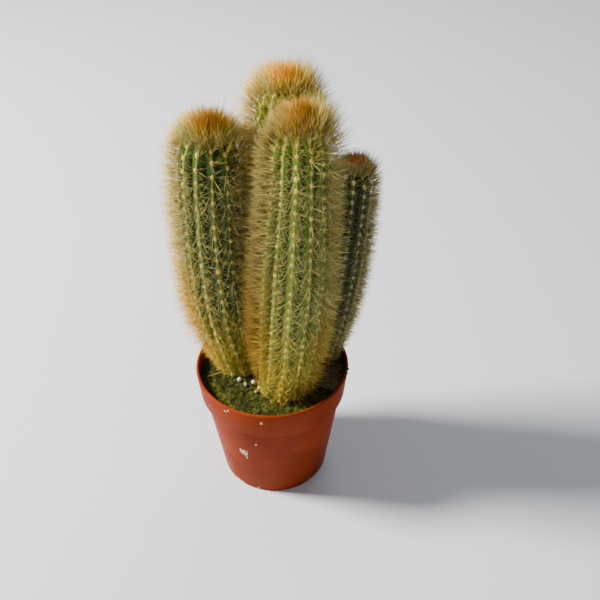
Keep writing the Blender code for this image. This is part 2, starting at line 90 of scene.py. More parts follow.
Color = tuple[float, float, float, float]
Millimetres = tuple[float, float, float]


class Slot(Enum):
    """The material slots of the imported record."""

    POT = "pot_plastic"
    SOIL = "potting_soil"
    MOSS = "moss"
    STEM = "cactus_stem"
    PERLITE = "perlite"


def tint(red: int, green: int, blue: int) -> Color:
    """A screen colour of 0 to 255 a channel as a linear colour.

    Args:
        red, green, blue: The channels.

    Returns:
        The colour that the shader takes.
    """
    channels = []
    for value in (red, green, blue):
        share = value / 255
        channels.append(share / 12.92 if share <= 0.04045 else ((share + 0.055) / 1.055) ** 2.4)
    return (*channels, 1.0)


def ease(low: float, high: float, value: np.ndarray | float) -> np.ndarray:
    """Smooth step from 0 at low to 1 at high."""
    share = np.clip((np.asarray(value, dtype=float) - low) / (high - low), 0, 1)
    return share * share * (3 - 2 * share)


def blend(low: float, high: float, share: np.ndarray | float) -> np.ndarray:
    """The value a share of the way from low to high."""
    return low + (high - low) * np.asarray(share, dtype=float)


def unit(vectors: np.ndarray) -> np.ndarray:
    """Vectors brought to length one."""
    return vectors / np.linalg.norm(vectors, axis=-1, keepdims=True)


def swung(start: np.ndarray, end: np.ndarray, angle: np.ndarray) -> np.ndarray:
    """Directions turned from start by an angle in radians towards end, at a right angle to it."""
    return start * np.cos(angle)[:, None] + end * np.sin(angle)[:, None]


def operator(operation: str, swapped: bool = False) -> Callable[[Link, Link | float], Link]:
    """Make the method for an arithmetic sign on links.

    Args:
        operation: The Math node's operation.
        swapped: Whether the link is the second value.

    Returns:
        The method.
    """

    def apply(self: Link, other: Link | float) -> Link:
        """Add one Math node."""
        first, second = (other, self) if swapped else (self, other)
        return self.graph.add("ShaderNodeMath", {"operation": operation}, {0: first, 1: second})

    return apply


class Link:
    """A socket's value in a node graph, with the usual arithmetic on numbers."""

    __add__ = operator("ADD")
    __radd__ = operator("ADD", swapped=True)
    __sub__ = operator("SUBTRACT")
    __rsub__ = operator("SUBTRACT", swapped=True)
    __mul__ = operator("MULTIPLY")
    __rmul__ = operator("MULTIPLY", swapped=True)
    __truediv__ = operator("DIVIDE")

    def __init__(self, graph: Graph, socket: bpy.types.NodeSocket) -> None:
        """Wrap an output socket of a graph."""
        self.graph = graph
        self.socket = socket

    def step(self, low: float, high: float) -> Link:
        """Smooth step from 0 at low to 1 at high."""
        settings = {"interpolation_type": "SMOOTHSTEP"}
        return self.graph.add("ShaderNodeMapRange", settings, {"Value": self, 1: low, 2: high})


class Graph:
    """Adds and links the nodes of one node tree."""

    def __init__(self, tree: bpy.types.NodeTree) -> None:
        """Start on a node tree."""
        self.tree = tree

    def add(
        self,
        kind: str,
        settings: dict[str, object] | None = None,
        inputs: dict[str | int, object] | None = None,
        output: str | int = 0,
    ) -> Link:
        """Add a node.

        Args:
            kind: Blender's type name of the node.
            settings: The node's own properties, or "stops" for the colours of a ramp.
            inputs: A value or a Link for each input socket, by name or number.
            output: The output socket that is wanted.

        Returns:
            That output as a Link.
        """
        node = self.tree.nodes.new(kind)
        for name, value in (settings or {}).items():
            if name == "stops":
                self._set_stops(node.color_ramp, value)
            else:
                setattr(node, name, value)
        for key, value in (inputs or {}).items():
            self.feed(node.inputs[key], value)
        return Link(self, node.outputs[output])

    def feed(self, socket: bpy.types.NodeSocket, value: object) -> None:
        """Link a socket, or set its own value."""
        if isinstance(value, Link):
            self.tree.links.new(value.socket, socket)
        else:
            socket.default_value = value

    @staticmethod
    def _set_stops(ramp: bpy.types.ColorRamp, stops: Sequence[tuple[float, Color]]) -> None:
        """Give a colour ramp its stops.

        Args:
            ramp: The ramp.
            stops: Its positions and colours.
        """
        while len(ramp.elements) < len(stops):
            ramp.elements.new(0.5)
        for element, (position, color) in zip(ramp.elements, stops):
            element.position = position
            element.color = color


class Shading(Graph):
    """The node graph of one Principled material."""

    def __init__(self, name: str, roughness: float, specular: float) -> None:
        """Start a material with a constant roughness and specular level.

        Args:
            name: Its name.
            roughness: Its roughness, until one is linked.
            specular: Its specular level.
        """
        self.material = bpy.data.materials.new(name)
        self.material.use_nodes = True
        super().__init__(self.material.node_tree)
        self.surface("Roughness", roughness)
        self.surface("Specular IOR Level", specular)

    def surface(self, name: str, value: Link | float) -> None:
        """Set or link an input of the Principled shader."""
        self.feed(self.tree.nodes["Principled BSDF"].inputs[name], value)

    def attribute(self, name: str) -> Link:
        """A number that the mesh carries."""
        return self.add("ShaderNodeAttribute", {"attribute_name": name}, output="Fac")

    def noise(self, scale: float, detail: float = 3, roughness: float = 0.55) -> Link:
        """Cloudy noise from 0 to 1 on object coordinates; scale is in clouds a metre."""
        place = self.add("ShaderNodeTexCoord", output="Object")
        inputs = {"Vector": place, "Scale": scale, "Detail": detail, "Roughness": roughness}
        return self.add("ShaderNodeTexNoise", None, inputs)

    def mix(self, share: Link | float, first: Link | Color, second: Link | Color) -> Link:
        """A colour a share of the way from first to second."""
        inputs = {0: share, 6: first, 7: second}
        return self.add("ShaderNodeMix", {"data_type": "RGBA"}, inputs, output=2)

    def grown(self, value: Link, stops: Sequence[tuple[float, Color]]) -> None:
        """Take the base colour from a ramp, made lighter or darker by the attribute shade."""
        color = self.add("ShaderNodeValToRGB", {"stops": stops}, {0: value})
        inputs = {0: color, "Scale": self.attribute("shade")}
        self.surface("Base Color", self.add("ShaderNodeVectorMath", {"operation": "SCALE"}, inputs))

    def relief(self, height: Link, depth: float) -> None:
        """Roughen the surface by a height from 0 to 1 and its depth in metres."""
        inputs = {"Height": height, "Distance": depth, "Strength": 1.0}
        self.surface("Normal", self.add("ShaderNodeBump", None, inputs))


@dataclass(frozen=True)
class SkinFinish:
    """The green skin of a stem: darker in the furrows as painted shade, yellower at the foot, pale along the
    crests.
    """

    name: str
    crest: Color
    # The furrow colour is painted shade, laid into the bottom of each furrow.
    furrow: Color
    foot: Color
    edge: Color
    foot_height: float = 0.35

    def material(self) -> bpy.types.Material:
        """Build the material; it reads the attributes furrow and rise of the mesh.

        Returns:
            The material.
        """
        shading = Shading(self.name, 0.5, 0.2)
        furrow = shading.attribute("furrow")
        rise = shading.attribute("rise")
        clouds = shading.noise(160, 4)
        # Painted shade: the skin darkens towards the bottom of each furrow, with cloudy noise for its own
        # uneven tone.
        depth = (furrow * 1.15 + (clouds - 0.5) * 0.5).step(0.12, 0.95)
        flesh = shading.mix(depth, self.crest, self.furrow)
        foot = (1 - rise.step(0.02, self.foot_height)) * (0.45 + clouds * 0.6)
        flesh = shading.mix(foot, flesh, self.foot)
        speckle = shading.noise(1400, 2)
        edge = (1 - furrow.step(0.0, 0.04)) * (0.35 + speckle * 0.7)
        shading.surface("Base Color", shading.mix(edge, flesh, self.edge))
        shading.surface("Roughness", 0.42 + clouds * 0.2)
        shading.relief(speckle * 0.5 + shading.noise(500, 3), 0.12 * MM)
        return shading.material


@dataclass(frozen=True)
class SpineFinish:
    """Thin translucent-looking spines, from pale straw to amber by their tone."""

    name: str
    pale: Color
    straw: Color
    gold: Color
    amber: Color

    def material(self) -> bpy.types.Material:
        """Build the material; it reads the attributes tone, shade and reach of the mesh.

        Returns:
            The material.
        """
        shading = Shading(self.name, 0.42, 0.12)
        stops = ((0.0, self.pale), (0.33, self.straw), (0.66, self.gold), (1.0, self.amber))
        tip = (0.45 - shading.attribute("reach")) * 0.16
        shading.grown(shading.attribute("tone") + tip, stops)
        return shading.material


@dataclass(frozen=True)
class MossFinish:
    """Moss leaves, from dark green at the root to yellow-green at the tip."""

    dark: Color = tint(34, 36, 12)
    green: Color = tint(84, 88, 28)
    dry: Color = tint(138, 130, 64)

    def material(self) -> bpy.types.Material:
        """Build the material; it reads the attributes tone, shade and reach of the mesh.

        Returns:
            The material.
        """
        shading = Shading("moss_leaves", 0.75, 0.15)
        stops = ((0.0, self.dark), (0.55, self.green), (1.0, self.dry))
        shading.grown(shading.attribute("tone") * 0.75 + shading.attribute("reach") * 0.35, stops)
        return shading.material


@dataclass(frozen=True)
class PotFinish:
    """Matte injection-moulded plastic, a little cloudy, with spots of dust."""

    plastic: Color = tint(132, 50, 17)
    deep: Color = tint(116, 40, 12)
    dust: Color = tint(150, 78, 44)

    def material(self) -> bpy.types.Material:
        """Build the material.

        Returns:
            The material.
        """
        shading = Shading("pot_plastic_finish", 0.5, 0.04)
        clouds = shading.noise(38, 4)
        color = shading.mix(clouds.step(0.3, 0.7), self.plastic, self.deep)
        grime = shading.noise(900, 3, 0.7)
        spots = (grime * 0.7 + shading.noise(120, 3) * 0.5).step(0.66, 0.86)
        shading.surface("Base Color", shading.mix(spots * 0.4, color, self.dust))
        shading.surface("Roughness", 0.42 + clouds * 0.16 + spots * 0.2)
        shading.relief(shading.noise(2600, 2), 0.02 * MM)
        return shading.material


@dataclass(frozen=True)
class EarthFinish:
    """Dull and granular, with lighter grains and with darker hollows between them, which are painted shade.
    """

    name: str
    dark: Color
    light: Color
    grains: float = 700
    depth: float = 0.4 * MM
    detail: float = 5
    harshness: float = 0.65
    span: tuple[float, float] = (0.42, 0.72)
    roughness: float = 0.9
    specular: float = 0.25

    def material(self) -> bpy.types.Material:
        """Build the material.

        Returns:
            The material.
        """
        shading = Shading(self.name, self.roughness, self.specular)
        grains = shading.noise(self.grains, self.detail, self.harshness)
        # Painted shade: the noise that sinks the hollows in the relief also darkens their colour.
        shading.surface("Base Color", shading.mix(grains.step(*self.span), self.dark, self.light))
        shading.relief(grains, self.depth)
        return shading.material


@dataclass(frozen=True)
class GrainFinish(EarthFinish):
    """Crumbly mineral of one colour."""

    grains: float = 1800
    depth: float = 0.15 * MM
    detail: float = 4
    harshness: float = 0.7
    span: tuple[float, float] = (0.35, 0.65)
    roughness: float = 0.85
    specular: float = 0.3


def new_mesh(
    name: str,
    points: np.ndarray,
    faces: Sequence[Sequence[int]],
    attributes: dict[str, np.ndarray] | None = None,
) -> bpy.types.Mesh:
    """Make a mesh.

    Args:
        name: Name of the mesh.
        points: Vertices, three numbers each.
        faces: Vertex numbers of each face.
        attributes: A number, or three, for each vertex, by name.

    Returns:
        The mesh, smooth shaded.
    """
    mesh = bpy.data.meshes.new(name)
    mesh.from_pydata(points.tolist(), [], faces)
    for title, values in (attributes or {}).items():
        kind, key = ("FLOAT_VECTOR", "vector") if values.ndim == 2 else ("FLOAT", "value")
        layer = mesh.attributes.new(title, kind, "POINT")
        layer.data.foreach_set(key, np.ascontiguousarray(values, dtype=np.float32).ravel())
    mesh.shade_smooth()
    return mesh


def cast(name: str, bm: bmesh.types.BMesh) -> bpy.types.Mesh:
    """Turn a bmesh into a smooth shaded mesh, and free it.

    Args:
        name: Name of the mesh.
        bm: The bmesh.

    Returns:
        The mesh.
    """
    mesh = bpy.data.meshes.new(name)
    bm.to_mesh(mesh)
    bm.free()
    mesh.shade_smooth()
    return mesh


def tube_faces(rings: int, columns: int, flipped: bool = False) -> list[tuple[int, ...]]:
    """Faces between closed rings of vertices.

    Args:
        rings: How many rings there are.
        columns: How many vertices a ring has.
        flipped: Whether the faces look the other way.

    Returns:
        The faces, ring by ring.
    """
    faces = []
    for low in range(0, (rings - 1) * columns, columns):
        for column in range(columns):
            after = (column + 1) % columns
            corners = (low + column, low + after, low + columns + after, low + columns + column)
            faces.append((corners[0], *corners[:0:-1]) if flipped else corners)
    return faces


def new_object(name: str, data: bpy.types.ID) -> bpy.types.Object:
    """Put a mesh, lamp or camera into the scene under a name."""
    thing = bpy.data.objects.new(name, data)
    bpy.context.scene.collection.objects.link(thing)
    return thing


def bake(thing: bpy.types.Object) -> None:
    """Turn an object's modifiers into plain mesh.

    Args:
        thing: The object, which keeps its name.
    """
    graph = bpy.context.evaluated_depsgraph_get()
    mesh = bpy.data.meshes.new_from_object(
        thing.evaluated_get(graph), preserve_all_data_layers=True, depsgraph=graph
    )
    source = thing.data
    thing.modifiers.clear()
    thing.data = mesh
    bpy.data.meshes.remove(source)
    mesh.name = thing.name


def hand_over(piece: bpy.types.Object, slot: Slot, *nodes: str) -> None:
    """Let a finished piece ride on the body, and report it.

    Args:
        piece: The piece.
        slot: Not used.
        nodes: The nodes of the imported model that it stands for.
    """
    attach(piece, BODY)
    if nodes:
        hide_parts(*nodes)
    triangles = sum(len(polygon.vertices) - 2 for polygon in piece.data.polygons)
    log.info("%s: %d triangles", piece.name, triangles)


def dress(mesh: bpy.types.Mesh, finish: bpy.types.Material, slot: Slot, node: str) -> None:
    """Give a mesh its finish, and let it stand for a node under the mesh's name."""
    mesh.materials.append(finish)
    hand_over(new_object(mesh.name, mesh), slot, node)


@dataclass
class Cloud:
    """Points that something grows from, with the heading, length, width and colour of each growth."""

    points: np.ndarray
    heading: np.ndarray
    length: np.ndarray
    width: np.ndarray
    tone: np.ndarray
    shade: np.ndarray

    def kept(self, mask: np.ndarray) -> Cloud:
        """The growths where the mask is true."""
        return Cloud(*(values[mask] for values in vars(self).values()))

    def mesh(self, name: str) -> bpy.types.Mesh:
        """The cloud as loose vertices that carry its numbers."""
        attributes = {title: values for title, values in vars(self).items() if title != "points"}
        return new_mesh(name, self.points, [], attributes)


class Grower(Graph):
    """A Geometry Nodes group that sets one small shape on every point of a cloud."""

    title = "grower"
    sizes: dict[str, tuple[str, float]] = {}

    def __init__(self) -> None:
        """Build the group: the shape, its turn and scale on each point, and its finish."""
        super().__init__(bpy.data.node_groups.new(self.title, "GeometryNodeTree"))
        self.keys: dict[str, str] = {}
        self._input("Cloud", "NodeSocketGeometry")
        for name, (kind, value) in {**self.sizes, "Seed": ("NodeSocketInt", 1)}.items():
            self._input(name, kind, value)
        self._input("Finish", "NodeSocketMaterial")
        self.tree.interface.new_socket("Growth", in_out="OUTPUT", socket_type="NodeSocketGeometry")
        self.inputs = self.tree.nodes.new("NodeGroupInput")
        seeded = {2: 0.0, 3: math.tau, "Seed": self.given("Seed")}
        spin = self.add("FunctionNodeRandomValue", {"data_type": "FLOAT"}, seeded, output=1)
        turn = self.add("FunctionNodeEulerToRotation", None, {0: self.vector(Z=spin)})
        heading = self._named("heading", "FLOAT_VECTOR")
        aligned = self.add("FunctionNodeAlignRotationToVector", {"axis": "Z"}, {"Vector": heading})
        rotation = self.add("FunctionNodeRotateRotation", {"rotation_space": "LOCAL"}, {0: aligned, 1: turn})
        width = self._named("width", "FLOAT")
        scale = self.vector(X=width, Y=width, Z=self._named("length", "FLOAT"))
        real = self.scattered(self.given("Cloud"), self.shape(), Rotation=rotation, Scale=scale)
        smooth = self.add("GeometryNodeSetShadeSmooth", None, {0: real})
        dressed = self.add("GeometryNodeSetMaterial", None, {0: smooth, "Material": self.given("Finish")})
        output = self.tree.nodes.new("NodeGroupOutput")
        self.feed(output.inputs[0], dressed)

    def _input(self, name: str, kind: str, value: float | None = None) -> None:
        """Declare a named input of the group and keep its identifier.

        Args:
            name: Its name.
            kind: Blender's type name of the socket.
            value: Its value where a piece gives none.
        """
        socket = self.tree.interface.new_socket(name, in_out="INPUT", socket_type=kind)
        if value is not None:
            socket.default_value = value
        self.keys[name] = socket.identifier

    def given(self, name: str) -> Link:
        """An input of the group."""
        return Link(self, self.inputs.outputs[name])

    def _named(self, name: str, kind: str) -> Link:
        """An attribute of the cloud's points."""
        return self.add("GeometryNodeInputNamedAttribute", {"data_type": kind}, {"Name": name})

    def vector(self, **parts: Link | float) -> Link:
        """A vector from its coordinates X, Y and Z."""
        return self.add("ShaderNodeCombineXYZ", None, parts)

    def position(self) -> tuple[Link, Link, Link]:
        """The three coordinates of the shape's own vertices."""
        spot = self.add("GeometryNodeInputPosition")
        return tuple(self.add("ShaderNodeSeparateXYZ", None, {0: spot}, output=axis) for axis in "XYZ")

    def scattered(self, points: Link, shape: Link, **placing: Link) -> Link:
        """A shape set on every point, as real mesh."""
        inputs = {"Points": points, "Instance": shape, **placing}
        return self.add("GeometryNodeRealizeInstances", None, {
            0: self.add("GeometryNodeInstanceOnPoints", None, inputs),
        })

    def moved(self, shape: Link, position: Link) -> Link:
        """A shape with its vertices at new positions."""
        return self.add("GeometryNodeSetPosition", None, {"Geometry": shape, "Position": position})

    def marked(self, shape: Link, height: Link) -> Link:
        """Write the height of each vertex of the unit shape as the attribute reach."""
        settings = {"data_type": "FLOAT", "domain": "POINT"}
        inputs = {"Geometry": shape, "Name": "reach", "Value": height}
        return self.add("GeometryNodeStoreNamedAttribute", settings, inputs)

    def shape(self) -> Link:
        """The shape that is set on every point, one unit high or in radius."""
        raise NotImplementedError

    def grow(
        self,
        name: str,
        cloud: Cloud,
        finish: bpy.types.Material,
        slot: Slot,
        **sizes: float,
    ) -> None:
        """Grow a piece as plain mesh and hand it over.

        Args:
            name: Name of the piece.
            cloud: Where it grows.
            finish: Its material.
            slot: The slot that its finish comes from.
            sizes: Values for the group's named inputs.
        """
        piece = new_object(name, cloud.mesh(name + "_cloud"))
        modifier = piece.modifiers.new("grow", "NODES")
        modifier.node_group = self.tree
        modifier[self.keys["Finish"]] = finish
        for title, value in sizes.items():
            modifier[self.keys[title]] = value
        bake(piece)
        hand_over(piece, slot)


class SpineGrower(Grower):
    """Slim tapered spines that bend a little towards their tip."""

    title = "spines"
    sizes = {"Rings": ("NodeSocketInt", 2), "Bend": ("NodeSocketFloat", 0.0)}

    def shape(self) -> Link:
        """A three-sided spindle, pointed at both ends, that leans to one side.

        Returns:
            The spindle, from height 0 to 1.
        """
        spindle = self.add("GeometryNodeMeshUVSphere", None, {"Segments": 3, "Rings": self.given("Rings")})
        x, y, z = self.position()
        rise = (z + 1) / 2
        height = rise - rise * (1 - rise) * 0.2
        bent = self.vector(X=x + rise * rise * self.given("Bend"), Y=y, Z=height)
        return self.marked(self.moved(spindle, bent), height)


class SprigGrower(Grower):
    """Moss sprigs: a ring of narrow pointed leaves round an upright one."""

    title = "sprigs"
    sizes = {"Leaves": ("NodeSocketInt", 6), "Slimness": ("NodeSocketFloat", 0.13),
             "Lean": ("NodeSocketFloat", 0.85)}

    def shape(self) -> Link:
        """A few three-sided spikes that lean out from one root.

        Returns:
            The sprig, as real mesh.
        """
        spike = self.add("GeometryNodeMeshCone", {"fill_type": "NGON"}, {
            "Vertices": 3,
            "Side Segments": 1,
            "Radius Top": 0.0,
            "Radius Bottom": self.given("Slimness"),
            "Depth": 1.0,
        })
        number = self.add("GeometryNodeInputIndex")
        lean = number.step(0.0, 1.0) * self.given("Lean") + number * 0.04
        turn = self.vector(X=lean, Z=number * GOLDEN_ANGLE)
        rotation = self.add("FunctionNodeEulerToRotation", None, {0: turn})
        roots = self.add("GeometryNodePoints", None, {"Count": self.given("Leaves")})
        return self.marked(self.scattered(roots, spike, Rotation=rotation), self.position()[2])


class LumpGrower(Grower):
    """Small irregular lumps, as crumbs of soil or the felt of an areole."""

    title = "lumps"
    sizes = {"Roughness": ("NodeSocketFloat", 0.5), "Detail": ("NodeSocketInt", 2)}

    def shape(self) -> Link:
        """A dented ball of radius one round its own middle.

        Returns:
            The ball.
        """
        detail = {"Radius": 1.0, "Subdivisions": self.given("Detail")}
        ball = self.add("GeometryNodeMeshIcoSphere", None, detail)
        spot = self.add("GeometryNodeInputPosition")
        noise = self.add("ShaderNodeTexNoise", None, {"Vector": spot, "Scale": 1.4, "Detail": 2.0})
        size = 1 + (noise - 0.5) * self.given("Roughness")
        dented = self.add("ShaderNodeVectorMath", {"operation": "SCALE"}, {0: spot, "Scale": size})
        return self.marked(self.moved(ball, dented), self.position()[2])


@dataclass
class Growers:
    """The node groups that the pieces share."""

    spine: SpineGrower = field(default_factory=SpineGrower)
    sprig: SprigGrower = field(default_factory=SprigGrower)
    lump: LumpGrower = field(default_factory=LumpGrower)


@dataclass(frozen=True)
class PotForm:
    """Sizes of the nursery pot, in millimetres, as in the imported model."""

    height: float = 75
    rim_radius: float = 42.5
    band_foot_radius: float = 40.8
    band_foot: float = 58
    body_top_radius: float = 38.8
    body_top: float = 57.2
    base_radius: float = 30.5
    wall: float = 1.2
    lip_radius: float = 0.9
    boss_radius: float = 11
    ring_inner: float = 27
    foot_rounding: float = 0.8
    recess: float = 1.8
    floor_top: float = 3.2
    drain_holes: int = 8
    drain_radius: float = 3.5
    drain_circle: float = 19
    drain_middle: float = 1.6
    notches: int = 4
    notch_width: float = 7
    notch_height: float = 1.2

    def body_radius(self, z: float) -> float:
        """Outer radius of the tapered body at a height."""
        return self.base_radius + (self.body_top_radius - self.base_radius) * z / self.body_top

    def band_radius(self, z: float) -> float:
        """Outer radius of the rim band at a height."""
        share = (z - self.band_foot) / (self.height - self.lip_radius - self.band_foot)
        return self.band_foot_radius + (self.rim_radius - self.band_foot_radius) * share


@dataclass(frozen=True)
class Fleck:
    """Dried dirt on the pot: its direction in degrees, height and sizes in mm, and number of flakes."""

    direction: float
    height: float
    width: float
    tall: float
    flakes: int


FLECKS = (
    Fleck(-146.0, 65.6, 0.5, 0.4, 2),
    Fleck(-124.8, 73.2, 1.0, 0.8, 4),
    Fleck(-126.9, 71.6, 2.2, 0.9, 8),
    Fleck(-133.0, 57.0, 12.0, 2.4, 16),
    Fleck(-99.4, 69.6, 1.1, 2.0, 14),
    Fleck(-106.1, 46.7, 0.9, 1.5, 8),
    Fleck(-119.6, 35.6, 4.4, 4.2, 90),
    Fleck(-117.2, 31.8, 1.2, 2.6, 12),
    Fleck(-109.5, 1.6, 1.6, 1.2, 6),
)


@dataclass
class Pot:
    """The thin plastic pot with its dirt; sizes in millimetres."""

    form: PotForm = field(default_factory=PotForm)
    finish: PotFinish = field(default_factory=PotFinish)
    segments: int = 192
    lip_steps: int = 12
    step_rounding: float = 0.35
    sharp_edge: float = 32
    flecks: tuple[Fleck, ...] = FLECKS
    flake_widths: tuple[float, float] = (0.16, 0.42)
    flake_thickness: float = 0.09
    seed: int = 5

    def outline(self) -> list[tuple[float, float]]:
        """Radius and height from the underside's middle, up outside, over the lip and down inside.

        Returns:
            The corners of the turned profile, in millimetres.
        """
        form = self.form
        lip_z = form.height - form.lip_radius
        lip_centre = form.rim_radius - form.lip_radius
        turns = [math.pi * step / self.lip_steps for step in range(self.lip_steps + 1)]
        rounding = self.step_rounding
        under = form.band_foot
        step_in = form.band_foot + 0.8
        body_in = form.body_top - 0.6
        foot = form.foot_rounding
        return [
            (0, 0),
            (form.boss_radius, 0),
            (form.boss_radius + 0.5, form.recess),
            (form.ring_inner - 0.5, form.recess),
            (form.ring_inner, 0),
            (form.base_radius - foot, 0),
            (form.body_radius(foot) - 0.25 * foot, 0.25 * foot),
            (form.body_radius(foot), foot),
            (form.body_radius(under - 1.8), under - 1.8),
            (form.body_top_radius, form.body_top - 0.2),
            (form.body_top_radius + 0.2, form.body_top + 0.1),
            (form.band_foot_radius - rounding, under - 0.12),
            (form.band_foot_radius - 0.1, under),
            (form.band_radius(under + rounding), under + rounding),
            *((lip_centre + form.lip_radius * math.cos(turn), lip_z + form.lip_radius * math.sin(turn))
              for turn in turns),
            (form.band_radius(lip_z - 1) - form.wall, lip_z - 1),
            (form.band_radius(step_in) - form.wall, step_in),
            (form.body_radius(body_in) - form.wall, body_in),
            (form.body_radius(form.floor_top + 1) - form.wall, form.floor_top + 1),
            (form.body_radius(form.floor_top) - form.wall - 1, form.floor_top),
            (0, form.floor_top),
        ]

    def shell(self) -> bmesh.types.BMesh:
        """The turned wall and floor, without holes.

        Returns:
            The closed shell.
        """
        bm = bmesh.new()
        points = [bm.verts.new((radius * MM, 0, z * MM)) for radius, z in self.outline()]
        edges = [bm.edges.new(pair) for pair in zip(points, points[1:])]
        bmesh.ops.spin(bm, geom=points + edges, cent=(0, 0, 0), axis=(0, 0, 1), angle=math.tau,
                       steps=self.segments, use_merge=True)
        bmesh.ops.remove_doubles(bm, verts=bm.verts, dist=0.005 * MM)
        bmesh.ops.recalc_face_normals(bm, faces=bm.faces)
        return bm

    def cutters(self) -> bmesh.types.BMesh:
        """What the drain holes and the notches of the foot ring take away.

        Returns:
            The cylinders and boxes.
        """
        form = self.form
        bm = bmesh.new()
        for index in range(form.drain_holes):
            angle = math.tau * index / form.drain_holes
            across, behind = form.drain_circle * math.cos(angle), form.drain_circle * math.sin(angle)
            middle = Vector((across, behind, form.drain_middle))
            bmesh.ops.create_cone(bm, cap_ends=True, segments=32, radius1=form.drain_radius * MM,
                                  radius2=form.drain_radius * MM, depth=2 * form.floor_top * MM,
                                  matrix=Matrix.Translation(middle * MM))
        ring = Matrix.Translation(((form.ring_inner + form.base_radius) / 2 * MM, 0, 0))
        breadth = form.base_radius - form.ring_inner + 3
        size = Matrix.Diagonal((breadth * MM, form.notch_width * MM, 2 * form.notch_height * MM, 1))
        for index in range(form.notches):
            turn = Matrix.Rotation(math.tau * (index + 0.5) / form.notches, 4, "Z")
            bmesh.ops.create_cube(bm, size=1, matrix=turn @ ring @ size)
        return bm

    def dirt(self) -> Cloud:
        """Thin flakes scattered over each fleck.

        Returns:
            The cloud of their middles.
        """
        chance = np.random.default_rng(self.seed)
        form = self.form
        spots = []
        headings = []
        for fleck in self.flecks:
            for _ in range(fleck.flakes):
                aside, above = np.clip(chance.normal(0, 0.3, 2), -0.5, 0.5)
                height = fleck.height + above * fleck.tall
                on_band = height > form.band_foot
                radius = form.band_radius(height) if on_band else form.body_radius(height)
                angle = math.radians(fleck.direction) + aside * fleck.width / radius
                out = np.array((math.cos(angle), math.sin(angle), -0.12))
                spots.append(np.array((radius * out[0], radius * out[1], height)) * MM)
                headings.append(out)
        count = len(spots)
        width = chance.uniform(*self.flake_widths, count) * MM
        return Cloud(np.array(spots), unit(np.array(headings)), np.full(count, self.flake_thickness * MM),
                     width, np.zeros(count), np.ones(count))

    def build(self, growers: Growers) -> None:
        """Make the pot and its flecks of dirt.

        Args:
            growers: The shared node groups.
        """
        pot = new_object("pot_dressed", cast("pot_shell", self.shell()))
        pot.data.materials.append(self.finish.material())
        tool = new_object("pot_cutters", cast("pot_cutters", self.cutters()))
        cut = pot.modifiers.new("holes", "BOOLEAN")
        cut.operation = "DIFFERENCE"
        cut.solver = "EXACT"
        cut.object = tool
        bake(pot)
        # The cutters' object goes with its mesh.
        bpy.data.meshes.remove(tool.data)
        pot.data.shade_smooth()
        pot.data.set_sharp_from_angle(angle=math.radians(self.sharp_edge))
        hand_over(pot, Slot.POT, "pot")
        dirt = GrainFinish("dried_dirt", dark=tint(196, 160, 132), light=tint(232, 218, 202)).material()
        growers.lump.grow("pot_flecks", self.dirt(), dirt, Slot.POT, Seed=self.seed, Roughness=1.0)


@dataclass(frozen=True)
class SpineKind:
    """A kind of spine on an areole; angles in degrees, lengths as a share of the stem's longest.

    Attributes:
        count: Spines on each areole.
        splay: How far they lean out from the surface, least and most.
        slant: Which way they lean, from down to up the stem.
        length: The shortest and the longest.
        width: Half their thickness in millimetres.
        tone: What they add to the stem's tone.
        openness: Share of them that is left out where they would hide the flesh from the open side.
        spread: How far along the rib their roots scatter, in millimetres.
        brightness: What their shade is multiplied by.
    """

    count: int
    splay: tuple[float, float]
    slant: tuple[float, float]
    length: tuple[float, float]
    width: float
    tone: float
    openness: float
    spread: float = 0.0
    brightness: float = 1.0


RADIALS = SpineKind(13, (54, 82), (-82, 24), (0.72, 1.20), 0.066, -0.14, 0.08, brightness=1.16)
CENTRALS = SpineKind(4, (12, 50), (-70, 10), (0.70, 0.98), 0.080, 0.0, 0.3, brightness=1.15)
HAIRS = SpineKind(34, (22, 76), (-86, 86), (0.62, 0.98), 0.066, 0.06, 0.97, spread=5.4)
FRINGE = SpineKind(74, (0, 60), (-86, 86), (0.62, 1.12), 0.088, 0.12, 1.0, spread=5.4)


class Axis:
    """A stem's curved centre line, measured in metres along it from the soil."""

    samples = 161

    def __init__(self, foot: Millimetres, middle: Millimetres, tip: Millimetres) -> None:
        """Lay the line through three points.

        Args:
            foot: Where it leaves the soil.
            middle: A point halfway.
            tip: Its end.
        """
        low, half, high = (np.array(point) * MM for point in (foot, middle, tip))
        control = 2 * half - (low + high) / 2
        t = np.linspace(0, 1, self.samples)[:, None]
        self.points = (1 - t) ** 2 * low + 2 * t * (1 - t) * control + t * t * high
        steps = np.linalg.norm(np.diff(self.points, axis=0), axis=1)
        self.lengths = np.concatenate(([0.0], np.cumsum(steps)))
        self.tangents = unit(np.gradient(self.points, axis=0))
        self.length = float(self.lengths[-1])

    def frame(self, along: np.ndarray | float) -> tuple[np.ndarray, ...]:
        """Find points on the line, or straight on beyond its ends.

        Args:
            along: Lengths along the line.

        Returns:
            The points, with the directions across, behind and along the stem.
        """
        along = np.atleast_1d(np.asarray(along, dtype=float))
        inside = np.clip(along, 0, self.length)
        point, upward = (
            np.stack([np.interp(inside, self.lengths, column) for column in table.T], axis=-1)
            for table in (self.points, self.tangents)
        )
        upward = unit(upward)
        point = point + upward * (along - inside)[:, None]
        across = unit(np.array((1.0, 0.0, 0.0)) - upward * upward[:, :1])
        return point, across, np.cross(upward, across), upward


